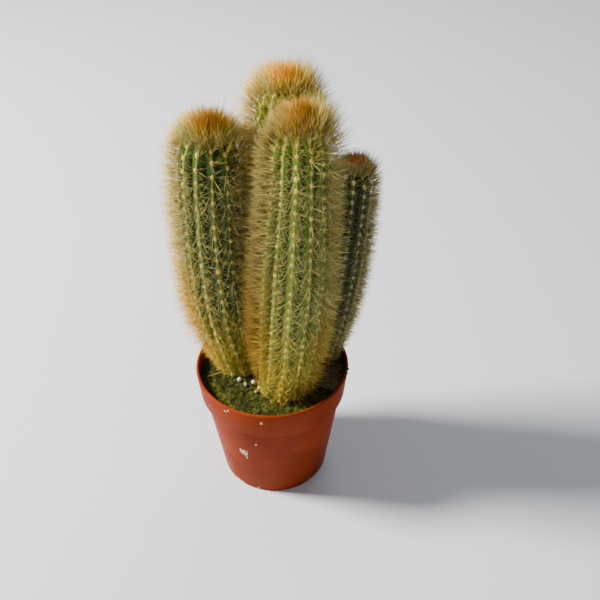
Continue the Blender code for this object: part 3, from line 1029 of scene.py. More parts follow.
@dataclass
class Stem:
    """One ribbed stem with its areoles, spines and crown; sizes in millimetres, angles in degrees.

    Attributes:
        foot, middle, tip: Points of the centre line.
        radius: Crest radius where the stem is thickest.
        foot_share: Share of that radius at the soil, made up over the share shoulder of the length.
        taper: Share of the girth that is lost between the shares taper_from and taper_to.
        turn: Direction of the first rib.
        spacing: Space between areoles at the foot and at the dome.
        spine: Length of a spine.
        tones: Tone of the spines at the foot, halfway and at the top.
        crown_spread: How far down from the apex the crown's spines root.
        crown_tones: Tone of the crown's middle and of its edge.
        core: Share of the crown that keeps the middle's tone.
        warmth: How much warmer in tone the lower spines on warm_side are.
        dimness: How much darker the spines on warm_side are, as a painted shadow, and how thinly those
            opposite are set.
        lightness: Brightness of the spines that don't face warm_side, which also sets how much lighter or
            darker those opposite are; painted light and shade.
        flare: How much longer the top's spines are that face away from warm_side.
        face_reach: Share of their length that the spines on open_side have.
        open_side: The direction from which the flesh is seen.
        short_side: The direction in which the lowest spines are short.
    """

    name: str
    foot: Millimetres
    middle: Millimetres
    tip: Millimetres
    radius: float
    foot_share: float
    taper: float
    taper_from: float
    turn: float
    spacing: tuple[float, float]
    spine: float
    crown_spine: float
    seed: int
    skin: SkinFinish
    spines: SpineFinish
    felts: SpineFinish
    wool_tone: float
    crown_tones: tuple[float, float]
    tones: tuple[float, float, float]
    crown_spread: float
    core: float
    flare: float
    warmth: float
    dimness: float
    lightness: float
    ribs: int = 12
    crown_count: int = 4200
    face_reach: float = 1.0
    warm_side: float = 180
    short_side: float = 195
    open_side: tuple[float, float, float] = (0.0, -1.0, 0.0)
    root_depth: float = 12
    shoulder: float = 0.38
    taper_to: float = 0.95
    dome_share: float = 1.05
    rib_depth: float = 0.20
    rib_fade: float = 25
    rib_closing: float = 0.65
    crown_angle: float = 54
    first_areole: float = 4
    areole_closing: float = 0.4
    apex_hole: float = 0.6
    row_step: float = 1.15
    columns_a_rib: int = 10
    bump: float = 0.35
    bump_size: float = 1.7
    felt_size: tuple[float, float] = (1.45, 0.95)
    wool_count: int = 16
    wool_splay: tuple[float, float] = (18, 86)
    wool_length: tuple[float, float] = (0.9, 1.9)
    wool_width: float = 0.075
    crown_width: float = 0.072
    crown_focus: float = 14

    def __post_init__(self) -> None:
        """Work out the centre line and where the dome, the crown and each areole are."""
        self.axis = Axis(self.foot, self.middle, self.tip)
        self.chance = np.random.default_rng(self.seed)
        self.girth_full = self.radius * MM
        self.dome = self.dome_share * self.girth_full
        self.dome_start = self.axis.length - self.dome
        self.top = self.dome_start + self.dome * math.pi / 2
        self.crown_start = self.dome_start + self.dome * math.radians(self.crown_angle)
        self.rows = [self._rib_rows(rib) for rib in range(self.ribs)]

    def _rib_rows(self, rib: int) -> np.ndarray:
        """Space the areoles of a rib, closer towards the crown.

        Args:
            rib: The rib's number; the odd ones start half a space higher.

        Returns:
            How far up each areole stands.
        """
        low, high = (value * MM for value in self.spacing)
        along = self.first_areole * MM + (low / 2 if rib % 2 else 0)
        rows = []
        while along < self.crown_start:
            rows.append(along + self.chance.uniform(-0.3, 0.3) * MM)
            near_top = float(ease(self.dome_start - 4 * MM, self.crown_start, along))
            closing = 1 - self.areole_closing * near_top
            along += (low + (high - low) * along / self.dome_start) * closing
        return np.array(rows)

    def girth(self, along: np.ndarray) -> np.ndarray:
        """Radius at the rib crests below the dome."""
        share = along / self.axis.length
        growth = self.foot_share + (1 - self.foot_share) * ease(0, self.shoulder, share)
        return self.girth_full * growth * (1 - self.taper * ease(self.taper_from, self.taper_to, share))

    def valley(self, distance: np.ndarray) -> np.ndarray:
        """Share of the crest radius that a furrow takes away."""
        closing = ease(self.dome_start, self.crown_start, distance)
        return self.rib_depth * ease(0, self.rib_fade * MM, distance) * (1 - self.rib_closing * closing)

    def towards(self, angle: np.ndarray, direction: float) -> np.ndarray:
        """How far places round the stem face a direction, from -1 to 1."""
        return np.cos(angle + math.radians(self.turn - direction))

    def place(
        self,
        distance: np.ndarray,
        angle: np.ndarray,
        share: np.ndarray | float = 1.0,
        lift: np.ndarray | float = 0.0,
    ) -> tuple[np.ndarray, np.ndarray, np.ndarray, np.ndarray, np.ndarray]:
        """Find points on the surface.

        Args:
            distance: How far up the surface, over the dome too.
            angle: Direction round the stem.
            share: Share of the crest radius.
            lift: Extra metres outwards.

        Returns:
            The points, their outward, climbing and sideways directions, and how far over the dome.
        """
        distance, angle = np.broadcast_arrays(np.asarray(distance, float), np.asarray(angle, float))
        rise = np.maximum(distance - self.dome_start, 0) / self.dome
        along = np.where(rise > 0, self.dome_start + self.dome * np.sin(rise), distance)
        radius = self.girth(np.minimum(along, self.dome_start)) * np.cos(rise)
        point, across, behind, upward = self.axis.frame(along)
        radial = swung(across, behind, angle + math.radians(self.turn))
        outward = swung(radial, upward, rise)
        climb = swung(upward, -radial, rise)
        spot = point + radial * (radius * share)[:, None] + outward * (np.zeros_like(radius) + lift)[:, None]
        return spot, outward, climb, np.cross(outward, climb), rise

    def centres(self) -> tuple[np.ndarray, np.ndarray]:
        """Points along the axis and the body's radius at each.

        Returns:
            The points and the radii, from the soil to the tip.
        """
        along = np.linspace(0, self.axis.length, 90)
        over = np.maximum(along - self.dome_start, 0) / self.dome
        radius = self.girth(np.minimum(along, self.dome_start)) * np.sqrt(np.maximum(1 - over ** 2, 0))
        return self.axis.frame(along)[0], radius

    def flesh_mesh(self) -> bpy.types.Mesh:
        """Make the ribbed body: rounded ribs, narrow furrows, a low swelling under each areole.

        Returns:
            The mesh, with the depth of the furrow and the share of the height at each vertex.
        """
        end = self.top - self.apex_hole * MM
        rooted = np.array((-1.0, -0.5)) * self.root_depth * MM
        distances = np.concatenate((rooted, np.linspace(0, end, round(end / (self.row_step * MM)))))
        columns = self.ribs * self.columns_a_rib
        angles = math.tau * np.arange(columns) / columns
        rib_share = angles * self.ribs / math.tau
        across = np.abs(2 * ((rib_share + 0.5) % 1) - 1)
        ribs = np.round(rib_share).astype(int) % self.ribs
        rounded = (1 - np.sqrt(1 - 0.96 * across ** 2)) / 0.8
        profile = 0.45 * across ** 1.7 + 0.55 * rounded
        points = []
        furrows = []
        rises = []
        for distance in distances:
            depth = float(self.valley(distance))
            share = 1 - depth * profile
            if distance < 0:
                share = share * (1 + 0.18 * distance / (self.root_depth * MM))
            nearest = np.array([np.abs(self.rows[rib] - distance).min() for rib in ribs])
            swelling = np.exp(-(nearest / (self.bump_size * MM)) ** 2 - (across / 0.34) ** 2)
            lift = self.bump * MM * (swelling * (distance > 0))
            points.append(self.place(np.full(columns, distance), angles, share, lift)[0])
            furrows.append(profile * depth / self.rib_depth)
            rises.append(np.full(columns, max(distance, 0) / self.top))
        ends = self.axis.frame((-self.root_depth * MM, self.axis.length))[0]
        faces = tube_faces(len(distances), columns)
        bottom = len(distances) * columns
        last = bottom - columns
        for column in range(columns):
            after = (column + 1) % columns
            faces.append((bottom, after, column))
            faces.append((bottom + 1, last + column, last + after))
        attributes = {
            "furrow": np.concatenate((*furrows, (0.0, 0.4))),
            "rise": np.concatenate((*rises, (0.0, 1.0))),
        }
        return new_mesh(self.name + "_flesh", np.concatenate((*points, ends)), faces, attributes)

    def tone(self, distance: np.ndarray, angle: np.ndarray) -> np.ndarray:
        """Find the tone of the spines: from foot over middle to top, warmer on one side.

        Args:
            distance: How far up the surface they stand.
            angle: Where round the stem.

        Returns:
            Their tone, where 0 is pale and 1 amber.
        """
        share = distance / self.top
        facing = self.towards(angle, self.warm_side)
        lower = ease(0.02, 0.22, share) * (1 - 0.9 * ease(0.25, 0.7, share))
        cool = 0.06 * ease(0.3, 0.5, share) * (1 - ease(0.75, 0.92, share))
        ember = 0.28 * self.warmth * self.ember(distance)
        levels = np.interp(share, (0.0, 0.5, 1.0), self.tones)
        return levels + self.warmth * lower * np.maximum(facing, 0) + (ember - cool) * np.maximum(-facing, 0)

    def ember(self, distance: np.ndarray) -> np.ndarray:
        """How far a height lies in the brown band above the foot."""
        share = distance / self.axis.length
        return ease(0.02, 0.12, share) * (1 - ease(0.25, 0.45, share))

    def areoles(self, count: int = 1) -> tuple[np.ndarray, np.ndarray]:
        """Distance up and angle round of every areole, each given count times."""
        angles = [np.full(len(rows), math.tau * rib / self.ribs) for rib, rows in enumerate(self.rows)]
        return np.repeat(np.concatenate(self.rows), count), np.repeat(np.concatenate(angles), count)

    def around_areoles(self, kind: SpineKind, room: Room) -> Cloud:
        """Grow one kind of spine on every areole.

        Args:
            kind: The kind of spine.
            room: What the spines keep clear of.

        Returns:
            The cloud of their roots.
        """
        chance = self.chance
        distance, angle = self.areoles(kind.count)
        count = len(distance)
        number = np.arange(count) % kind.count
        distance = np.maximum(distance + chance.uniform(-0.5, 0.5, count) * kind.spread * MM, 2 * MM)
        middle, outward, climb, side, rise = self.place(distance, angle, 1.0, self.bump * MM)
        # Four rows are drawn and three used, which keeps every later draw as it is.
        swing, hue, glow, _ = chance.uniform(-1, 1, (4, count))
        pairs = max((kind.count - 1) // 2, 1)
        slant = np.radians(blend(*kind.slant, (number // 2) / pairs) + swing * 8)
        hand = np.where(number % 2 == 0, 1.0, -1.0)
        along = swung(side * hand[:, None], climb, slant)
        splay = np.radians(blend(*kind.splay, chance.uniform(0, 1, count) ** 0.7))
        upward = self.axis.frame(np.minimum(distance, self.axis.length))[3]
        near_top = ease(self.dome_start - 14 * MM, self.crown_start, distance)
        heading = unit(swung(outward, along, splay) + upward * (rise + 0.55 * near_top)[:, None])
        warm = self.towards(angle, self.warm_side)
        lee = np.maximum(-warm, 0)
        in_front = outward @ np.array(self.open_side)
        root = middle + along * (chance.uniform(0.1, 0.55, count) * MM)[:, None] - outward * 0.35 * MM
        length = chance.uniform(*kind.length, count) * self.spine * MM * (1 - 0.10 * near_top)
        short = np.maximum(self.towards(angle, self.short_side), 0)
        crowded = (1 - ease(6 * MM, 34 * MM, distance)) * short
        length = length * blend(0.74, 1, ease(0, 50 * MM, distance))
        length = length * (1 - 0.6 * crowded) * (1 + self.flare * near_top * lee)
        length = length * blend(1, self.face_reach, ease(0.2, 0.6, in_front))
        width = kind.width * MM * chance.uniform(0.8, 1.2, count) * (1 + 0.25 * np.abs(warm))
        width = width * (1 - 0.28 * near_top * (kind.spread == 0))
        # Painted light and shade: glints are painted highlights on a few spines of the lee side, brighter,
        # wider and paler; brightness() lights or shades every spine by the side it faces.
        glint = (chance.uniform(0, 1, count) > 0.86) * lee
        tone = self.tone(distance, angle) + kind.tone + 0.14 * hue + 0.12 * near_top * (kind.spread > 0)
        shade = kind.brightness * self.brightness(distance, warm) * (1 + 0.38 * glow) * (1 + 1.2 * glint)
        width = width * (1 + 0.6 * glint)
        cloud = Cloud(root, heading, length, width, np.clip(tone - 0.25 * glint, 0, 1), shade)
        opening = heading @ np.array(self.open_side) + 0.05 * (1 - ease(10 * MM, 45 * MM, distance))
        facing = np.maximum(ease(0.05, 0.4, opening), ease(0.3, 0.7, -opening))
        facing = np.maximum(facing, 0.92 * near_top * ease(0.1, 0.5, in_front))
        thinned = kind.openness * np.maximum(facing, 0.7 * self.dimness * lee)
        growing = chance.uniform(0, 1, count) > thinned
        return room.trimmed(self, cloud.kept(growing))

    def brightness(self, distance: np.ndarray, warm: np.ndarray) -> np.ndarray:
        """Find how light the spines are, whatever their tone: painted light and shade by the side they face.

        Args:
            distance: How far up the surface they stand.
            warm: How far they face the warm side, from -1 to 1.

        Returns:
            What their colour is multiplied by.
        """
        lit, lee = np.maximum(warm, 0), np.maximum(-warm, 0)
        # Painted light and shade: spines on warm_side are lit towards 0.9 and darkened by dimness as a
        # painted shadow; those opposite are lighter or darker by lightness, and darker in the brown band
        # where dimness is set.
        dim = self.dimness * (1 - 0.15 * ease(0.5, 0.9, distance / self.axis.length))
        shade = (self.lightness + (0.90 - self.lightness) * lit) * (1 - dim * lit)
        shade = shade * (1 + (1.38 - 1.55 * self.lightness) * lee)
        shade = shade * (1 - self.dimness * 0.4 * self.ember(distance) * lee)
        return shade * (1.18 - 0.18 * ease(20 * MM, 80 * MM, distance))

    def wool_tones(self, distance: np.ndarray, jitter: float) -> np.ndarray:
        """Tone of the wool, browner towards the soil."""
        foot = 1 - ease(0, 60 * MM, distance)
        chance = self.chance.uniform(-jitter, jitter, len(distance))
        return np.clip(self.wool_tone + 0.35 * foot + chance, 0, 1)

    def wool(self) -> Cloud:
        """Grow the short woolly hairs of every areole.

        Returns:
            The cloud of their roots.
        """
        chance = self.chance
        distance, angle = self.areoles(self.wool_count)
        count = len(distance)
        middle, outward, climb, side, _ = self.place(distance, angle, 1.0, self.bump * MM)
        along = swung(side, climb, chance.uniform(0, math.tau, count))
        splay = np.radians(chance.uniform(*self.wool_splay, count))
        aside = along * (chance.uniform(0.2, 0.9, count) * MM)[:, None]
        above = climb * (chance.uniform(-0.7, 0.7, count) * MM)[:, None]
        length = chance.uniform(*self.wool_length, count) * MM
        tone = self.wool_tones(distance, 0.12)
        return Cloud(middle + (aside + above) * 0.6, unit(swung(outward, along, splay)), length,
                     np.full(count, self.wool_width * MM), tone, chance.uniform(0.85, 1.15, count))

    def felt(self) -> Cloud:
        """Lay the oval felt pad of every areole.

        Returns:
            The cloud of their middles.
        """
        chance = self.chance
        distance, angle = self.areoles()
        count = len(distance)
        middle, outward, climb, _, _ = self.place(distance, angle, 1.0, self.bump * MM)
        size = chance.uniform(0.85, 1.15, count)
        length, width = (value * MM * size for value in self.felt_size)
        tone = self.wool_tones(distance, 0.1)
        return Cloud(middle, unit(climb + outward * 0.05), length, width, tone,
                     chance.uniform(0.70, 1.16, count))

    def crown(self, room: Room) -> Cloud:
        """Grow the dense brush of young spines on the tip.

        Args:
            room: What the spines keep clear of.

        Returns:
            The cloud of their roots.
        """
        chance = self.chance
        count = self.crown_count
        number = np.arange(count)
        share = ((number + 0.5) / count) ** 0.6
        distance = self.dome_start + self.dome * (math.pi / 2 - math.radians(self.crown_spread) * share)
        root, outward, _, _, _ = self.place(distance, number * GOLDEN_ANGLE)
        apex, _, _, upward = self.axis.frame(self.axis.length)
        heading = unit(root - (apex - upward * self.crown_focus * MM))
        heading = unit(heading + chance.normal(0, 0.19, (count, 3)))
        rank = chance.uniform(0, 1, count)
        leading = rank > 0.92
        tallest = rank > 0.994
        length = self.crown_spine * MM * chance.uniform(0.50, 1.05, count) * (1 - 0.2 * share)
        length = length * np.where(leading, 1.22, 1.0) * np.where(tallest, 1.45, 1.0)
        tone = blend(*self.crown_tones, ease(self.core, self.core + 0.4, share))
        tone = tone + chance.uniform(-0.2, 0.2, count)
        width = self.crown_width * MM * chance.uniform(0.8, 1.25, count)
        # Painted shade: the crown's middle, lit from above, is darker, and so are the spines that face the
        # lamp on the left, which are also yellower.
        shade = chance.uniform(0.58, 1.25, count) * blend(0.84, 1, ease(0, 0.5, share))
        lit = ease(0.0, 0.6, -outward[:, 0])
        cloud = Cloud(
            points=root - outward * 0.4 * MM,
            heading=heading,
            length=length,
            width=width * np.where(leading, 1.5, 1.0),
            tone=np.clip(tone - 0.24 * lit, 0, 1),
            shade=shade * np.where(tallest, 0.5, 1.0) * (1 - 0.22 * lit),
        )
        growing = chance.uniform(0, 1, count) > 0.6 * ease(0.6, 1.0, share)
        return room.trimmed(self, cloud.kept(growing))

    def build(self, growers: Growers, room: Room) -> None:
        """Make all pieces of the stem.

        Args:
            growers: The shared node groups.
            room: What the spines keep clear of.
        """
        dress(self.flesh_mesh(), self.skin.material(), Slot.STEM, self.name)
        straw = self.spines.material()
        cream = self.felts.material()
        growers.lump.grow(self.name + "_areoles", self.felt(), cream, Slot.STEM, Seed=self.seed, Detail=1)
        growers.spine.grow(self.name + "_wool", self.wool(), cream, Slot.STEM, Seed=self.seed + 1)
        kinds = (
            ("_radials", RADIALS, 2, {}),
            ("_centrals", CENTRALS, 3, {"Rings": 3, "Bend": 2.0}),
            ("_hairs", HAIRS, 5, {}),
            ("_fringe", FRINGE, 6, {}),
        )
        for title, kind, number, sizes in kinds:
            cloud = self.around_areoles(kind, room)
            growers.spine.grow(self.name + title, cloud, straw, Slot.STEM, Seed=self.seed + number, **sizes)
        growers.spine.grow(self.name + "_crown", self.crown(room), straw, Slot.STEM, Seed=self.seed + 4)


@dataclass
class Room:
    """What the spines keep clear of: the other stems, the soil, the pot, the grains and the model's box.

    Lengths are metres; low and high are the corners of the box, grains the middles of the grains.
    """

    stems: Sequence[Stem]
    pot: PotForm
    low: np.ndarray
    high: np.ndarray
    grains: Sequence[np.ndarray]
    ground: float = 69.6 * MM
    clearance: float = 0.5 * MM
    wall_room: float = 1.2 * MM
    rim_room: float = 0.8 * MM
    grain_room: float = 4.0 * MM
    shortest: float = 1.2 * MM
    probes: tuple[float, ...] = (0.15, 0.3, 0.45, 0.6, 0.75, 0.9, 1.0)

    def blocked(self, owner: Stem, points: np.ndarray) -> np.ndarray:
        """Test points against what is in the way.

        Args:
            owner: The stem whose spines are tested.
            points: The points.

        Returns:
            Whether each lies in another stem, a grain, the ground or the pot's wall.
        """
        from_middle = np.hypot(points[:, 0], points[:, 1])
        wall = (self.pot.rim_radius - self.pot.wall) * MM - self.wall_room
        beside = (from_middle > wall) & (points[:, 2] < self.pot.height * MM + self.rim_room)
        inside = (points[:, 2] < self.ground) | beside
        for stem in self.stems:
            if stem is not owner:
                for centre, radius in zip(*stem.centres()):
                    inside |= np.linalg.norm(points - centre, axis=1) < radius + self.clearance
        for grain in self.grains:
            inside |= np.linalg.norm(points - grain, axis=1) < self.grain_room
        return inside

    def trimmed(self, owner: Stem, cloud: Cloud) -> Cloud:
        """Shorten what would reach into something, and drop what has no room at all.

        Args:
            owner: The stem whose spines are trimmed.
            cloud: The spines.

        Returns:
            What is left of them.
        """
        free = np.zeros(len(cloud.length))
        open_way = np.ones(len(cloud.length), dtype=bool)
        for probe in self.probes:
            open_way &= ~self.blocked(owner, cloud.points + cloud.heading * (cloud.length * probe)[:, None])
            free[open_way] = probe
        reach = cloud.heading * (cloud.length * free)[:, None]
        for axis in range(3):
            tip = (cloud.points + reach)[:, axis]
            for limit, side in ((self.low[axis], -1), (self.high[axis], 1)):
                beyond = (tip - limit) * side > 0
                room = limit - cloud.points[beyond, axis]
                free[beyond] *= np.clip(room / reach[beyond, axis], 0, 1)
        shortened = replace(cloud, length=cloud.length * free)
        return shortened.kept(shortened.length > self.shortest)


def soil_height(x: np.ndarray, y: np.ndarray) -> np.ndarray:
    """Height of the gently uneven soil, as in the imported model."""
    waves = np.sin(160 * x + 1.0) * np.cos(140 * y) + 0.5 * np.sin(260 * y - 120 * x)
    return (SOIL_TOP + 0.3 * waves / 1.5) * MM


def moss_height(x: np.ndarray, y: np.ndarray) -> np.ndarray:
    """Height of the moss cushions away from their edge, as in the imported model."""
    cushions = np.sin(410 * x + 1.3) * np.sin(430 * y + 0.4) + 0.6 * np.cos(700 * (x + y))
    return (69.2 + 0.7 * cushions / 1.6) * MM


@dataclass
class Soil:
    """The potting soil with its loose crumbs; sizes in millimetres."""

    pot: PotForm
    finish: EarthFinish
    gap: float = 0.35
    clods: float = 0.35
    crumbs: int = 1200
    crumb_sizes: tuple[float, float] = (0.25, 0.95)
    rings: int = 44
    segments: int = 128
    seed: int = 21

    def inside(self, radius: float) -> float:
        """Radius of the soil where the pot's outer radius is given."""
        return radius - self.pot.wall - self.gap

    def surface(self, x: np.ndarray, y: np.ndarray) -> np.ndarray:
        """Height of the soil with the fine clods on it."""
        waves = np.sin(900 * x + 3 * np.sin(500 * y)) * np.sin(1100 * y + 2 * np.sin(700 * x))
        return soil_height(x, y) + self.clods * MM * waves

    def body_mesh(self) -> bpy.types.Mesh:
        """Make the soil: its uneven top and the sides that follow the pot down to its floor.

        Returns:
            The closed mesh.
        """
        pot = self.pot
        outer = self.inside(pot.band_radius(SOIL_TOP))
        skirt = (
            (outer, 66.4),
            (self.inside(pot.band_radius(58.8)), 59.1),
            (self.inside(pot.body_radius(56.6)), 56.8),
            (self.inside(pot.body_radius(4.2)), 4.55),
            (self.inside(pot.body_radius(3.2)) - 1, 3.55),
        )
        angles = math.tau * np.arange(self.segments) / self.segments
        points = []
        for radius in np.linspace(0.03, 1, self.rings) * outer:
            x, y = radius * MM * np.cos(angles), radius * MM * np.sin(angles)
            height = self.surface(x, y) if radius < outer else soil_height(x, y)
            points.append(np.stack((x, y, height), axis=-1))
        for radius, height in skirt:
            x, y = radius * MM * np.cos(angles), radius * MM * np.sin(angles)
            points.append(np.stack((x, y, np.full(self.segments, height * MM)), axis=-1))
        faces = tube_faces(len(points), self.segments, flipped=True)
        last = (len(points) - 1) * self.segments
        faces.append(tuple(range(self.segments)))
        faces.append(tuple(last + column for column in reversed(range(self.segments))))
        return new_mesh("soil_dressed", np.concatenate(points), faces)

    def crumb_cloud(self) -> Cloud:
        """Scatter the crumbs over the soil.

        Returns:
            The cloud of their middles.
        """
        chance = np.random.default_rng(self.seed)
        count = self.crumbs
        outer = self.inside(self.pot.band_radius(SOIL_TOP))
        radius = np.sqrt(chance.uniform(0.02, 0.985, count)) * (outer - 0.6) * MM
        angle = chance.uniform(0, math.tau, count)
        x, y = radius * np.cos(angle), radius * np.sin(angle)
        size = blend(*self.crumb_sizes, chance.uniform(0, 1, count) ** 2) * MM
        spots = np.stack((x, y, soil_height(x, y) + size * 0.3), axis=-1)
        heading = unit(chance.normal(0, 1, (count, 3)))
        return Cloud(spots, heading, size, size * chance.uniform(0.6, 1.0, count),
                     chance.uniform(0, 1, count), chance.uniform(0.7, 1.3, count))

    def build(self, growers: Growers) -> None:
        """Make the soil and its crumbs.

        Args:
            growers: The shared node groups.
        """
        finish = self.finish.material()
        dress(self.body_mesh(), finish, Slot.SOIL, "soil")
        growers.lump.grow("soil_crumbs", self.crumb_cloud(), finish, Slot.SOIL, Seed=self.seed,
                          Roughness=1.1, Detail=1)


@dataclass
class Moss:
    """Cushions of moss round the front of the pot; sizes in millimetres, angles in degrees."""

    pot: PotForm
    stems: Sequence[Stem]
    grains: Sequence[Grain]
    start: float = 142
    end: float = 331
    inner: float = 10
    gap: float = 0.7
    steps: int = 150
    rings: int = 34
    sprigs: int = 6200
    sprig_sizes: tuple[float, float] = (0.9, 1.9)
    seed: int = 31
    finish: MossFinish = field(default_factory=MossFinish)

    def edge(self, share: np.ndarray, part: np.ndarray) -> np.ndarray:
        """How full the cushion is: 0 at its ends and rim, 1 inside."""
        ends = np.minimum(ease(0, 0.08, share), ease(0, 0.08, 1 - share))
        return np.minimum(ends, ease(-0.06, 0.12, 1 - part))

    def surface(self, share: np.ndarray, part: np.ndarray) -> np.ndarray:
        """Find points on top of the moss.

        Args:
            share: Share of the sweep round the pot.
            part: Part of the breadth from the inner edge to the pot.

        Returns:
            The points.
        """
        outer = self.pot.band_radius(SOIL_TOP) - self.pot.wall - self.gap
        angle = np.radians(self.start + (self.end - self.start) * share)
        radius = (self.inner + (outer - self.inner) * part) * MM
        x, y = radius * np.cos(angle), radius * np.sin(angle)
        base = (MOSS_FOOT + 0.5) * MM
        fine = 0.25 * MM * np.sin(1500 * x + 2 * np.sin(900 * y)) * np.sin(1300 * y)
        z = base + (moss_height(x, y) - base + fine) * self.edge(share, part)
        return np.stack((x, y, z), axis=-1)

    def clear(self, points: np.ndarray) -> np.ndarray:
        """Test whether points are free to grow on.

        Args:
            points: The points.

        Returns:
            Whether each lies outside every stem's foot and beside the grains.
        """
        places = [(np.array(stem.foot[:2]) * MM, float(stem.girth(np.array(2 * MM))) - 0.5 * MM)
                  for stem in self.stems]
        for grain in self.grains:
            low, high = grain.box()
            places.append(((low + high)[:2] / 2, float(np.max(high - low)) / 2 + 0.7 * MM))
        clear = np.ones(len(points), dtype=bool)
        for middle, radius in places:
            clear &= np.linalg.norm(points[:, :2] - middle, axis=1) > radius
        return clear

    def cushion_mesh(self) -> bpy.types.Mesh:
        """Make the cushion as a closed sheet of two layers.

        Returns:
            The mesh.
        """
        steps, rings = self.steps, self.rings
        share, part = np.meshgrid(np.linspace(0, 1, steps), np.linspace(0, 1, rings), indexing="ij")
        top = self.surface(share.ravel(), part.ravel())
        bottom = top.copy()
        bottom[:, 2] = MOSS_FOOT * MM
        under = steps * rings
        faces = []
        for first in range(0, (steps - 1) * rings, rings):
            after = first + rings
            for ring in range(rings - 1):
                a, b, c, d = first + ring, first + ring + 1, after + ring + 1, after + ring
                faces.append((a, b, c, d))
                faces.append((under + d, under + c, under + b, under + a))
            faces.append((under + first, first, after, under + after))
            low, high = first + rings - 1, after + rings - 1
            faces.append((low, under + low, under + high, high))
        for ring in range(rings - 1):
            faces.append((under + ring, under + ring + 1, ring + 1, ring))
            last = under - rings + ring
            faces.append((last, last + 1, under + last + 1, under + last))
        return new_mesh("moss_cushion", np.concatenate((top, bottom)), faces)

    def sprig_cloud(self) -> Cloud:
        """Scatter the sprigs over the cushion, in patches and tufts.

        Returns:
            The cloud of their roots.
        """
        chance = np.random.default_rng(self.seed)
        count = self.sprigs
        share = chance.uniform(0.005, 0.995, count)
        part = np.sqrt(chance.uniform(0.06, 0.97, count))
        root = self.surface(share, part)
        x, y = root[:, 0], root[:, 1]
        patch = np.sin(260 * x + 2.0) * np.sin(230 * y + 1.0)
        tufts = np.sin(720 * x + 2.4 * np.sin(410 * y)) * np.sin(660 * y + 1.9 * np.sin(380 * x))
        size = chance.uniform(*self.sprig_sizes, count) * MM * (0.84 + 0.2 * patch + 0.16 * tufts)
        lean = (chance.normal(0, 0.45, count), chance.normal(0, 0.45, count), np.ones(count))
        heading = unit(np.stack(lean, axis=-1))
        tone = np.clip(0.42 + 0.2 * patch + 0.12 * tufts + chance.uniform(-0.3, 0.3, count), 0, 1)
        shade = chance.uniform(0.65, 1.25, count) * (1.02 + 0.36 * tufts)
        cloud = Cloud(root - heading * 0.2 * MM, heading, size, size, tone, shade)
        return cloud.kept(self.clear(root))

    def build(self, growers: Growers) -> None:
        """Make the cushion and its sprigs.

        Args:
            growers: The shared node groups.
        """
        base = EarthFinish("moss_base", tint(26, 30, 14), tint(60, 66, 30), 500, 0.5 * MM)
        dress(self.cushion_mesh(), base.material(), Slot.MOSS, "moss")
        growers.sprig.grow("moss_sprigs", self.sprig_cloud(), self.finish.material(), Slot.MOSS,
                           Seed=self.seed)


@dataclass(frozen=True)
class Litter:
    """Crumbs of soil on the pot's rim and a fallen spine on the moss; places and sizes in millimetres."""

    crumbs: tuple[tuple[Millimetres, float], ...] = (
        ((39.9, -11.6, 75.7), 1.15),
        ((40.5, -9.9, 75.5), 0.7),
        ((39.2, -13.6, 75.4), 0.6),
        ((41.5, -8.6, 75.3), 0.85),
        ((41.1, -12.4, 75.3), 0.4),
    )
    spine_root: Millimetres = (-26.4, -2.6, 71.9)
    spine_tip: Millimetres = (-36.2, -7.0, 71.3)
    spine_width: float = 0.13

    def build(self, growers: Growers, earth: EarthFinish, straw: SpineFinish) -> None:
        """Lay the crumbs and the spine.

        Args:
            growers: The shared node groups.
            earth: The finish of the crumbs.
            straw: The finish of the spine.
        """
        count = len(self.crumbs)
        places = np.array([place for place, _ in self.crumbs]) * MM
        sizes = np.array([size for _, size in self.crumbs]) * MM
        heading = unit(np.stack((np.linspace(-1, 1, count), np.full(count, 0.4), np.ones(count)), axis=-1))
        cloud = Cloud(places, heading, sizes * 0.8, sizes, np.zeros(count), np.ones(count))
        growers.lump.grow("rim_crumbs", cloud, earth.material(), Slot.SOIL, Seed=41, Roughness=1.3, Detail=4)
        root, tip = np.array((self.spine_root, self.spine_tip)) * MM
        way = tip - root
        length = np.array((float(np.linalg.norm(way)),))
        cloud = Cloud(root[None], unit(way)[None], length, np.array((self.spine_width * MM,)),
                      np.array((0.1,)), np.array((1.3,)))
        growers.spine.grow("fallen_spine", cloud, straw.material(), Slot.STEM, Seed=42, Rings=8, Bend=4.0)


@dataclass(frozen=True)
class Grain:
    """A grain of perlite: its node, its half sizes in millimetres, its turn in degrees and its finish."""

    node: str
    size: Millimetres
    turn: float
    finish: GrainFinish
    swell: tuple[float, float, float] = (1.14, 1.20, 1.40)

    def box(self) -> np.ndarray:
        """The lowest and the highest corner of the node."""
        return np.array([tuple(corner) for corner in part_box(self.node)])

    def build(self) -> None:
        """Make the grain on its node's foot, a little larger than the node."""
        bm = bmesh.new()
        bmesh.ops.create_icosphere(bm, subdivisions=4, radius=1)
        points = np.array([tuple(vert.co) for vert in bm.verts])
        x, y, z = points.T
        lump = 1 + 0.16 * np.sin(5 * x + 3 * y + self.turn) * np.cos(4 * z + 2 * x)
        lump += 0.09 * np.sin(13 * x + 7 * z) * np.sin(11 * y + 9 * z + self.turn)
        lump += 0.025 * np.sin(29 * x + 3 * np.sin(17 * y)) * np.sin(31 * z + 23 * y)
        turn = np.array(Matrix.Rotation(math.radians(self.turn), 3, "Z"))
        points = points * lump[:, None] * self.size @ turn.T
        foot, top = points.min(axis=0), points.max(axis=0)
        low, high = self.box()
        extent = (high - low) * self.swell
        middle = (low + high) / 2
        middle[2] = low[2] + extent[2] / 2
        points = (points - (foot + top) / 2) / (top - foot) * extent + middle
        for vert, point in zip(bm.verts, points):
            vert.co = point
        dress(cast(self.node + "_dressed", bm), self.finish.material(), Slot.PERLITE, self.node)


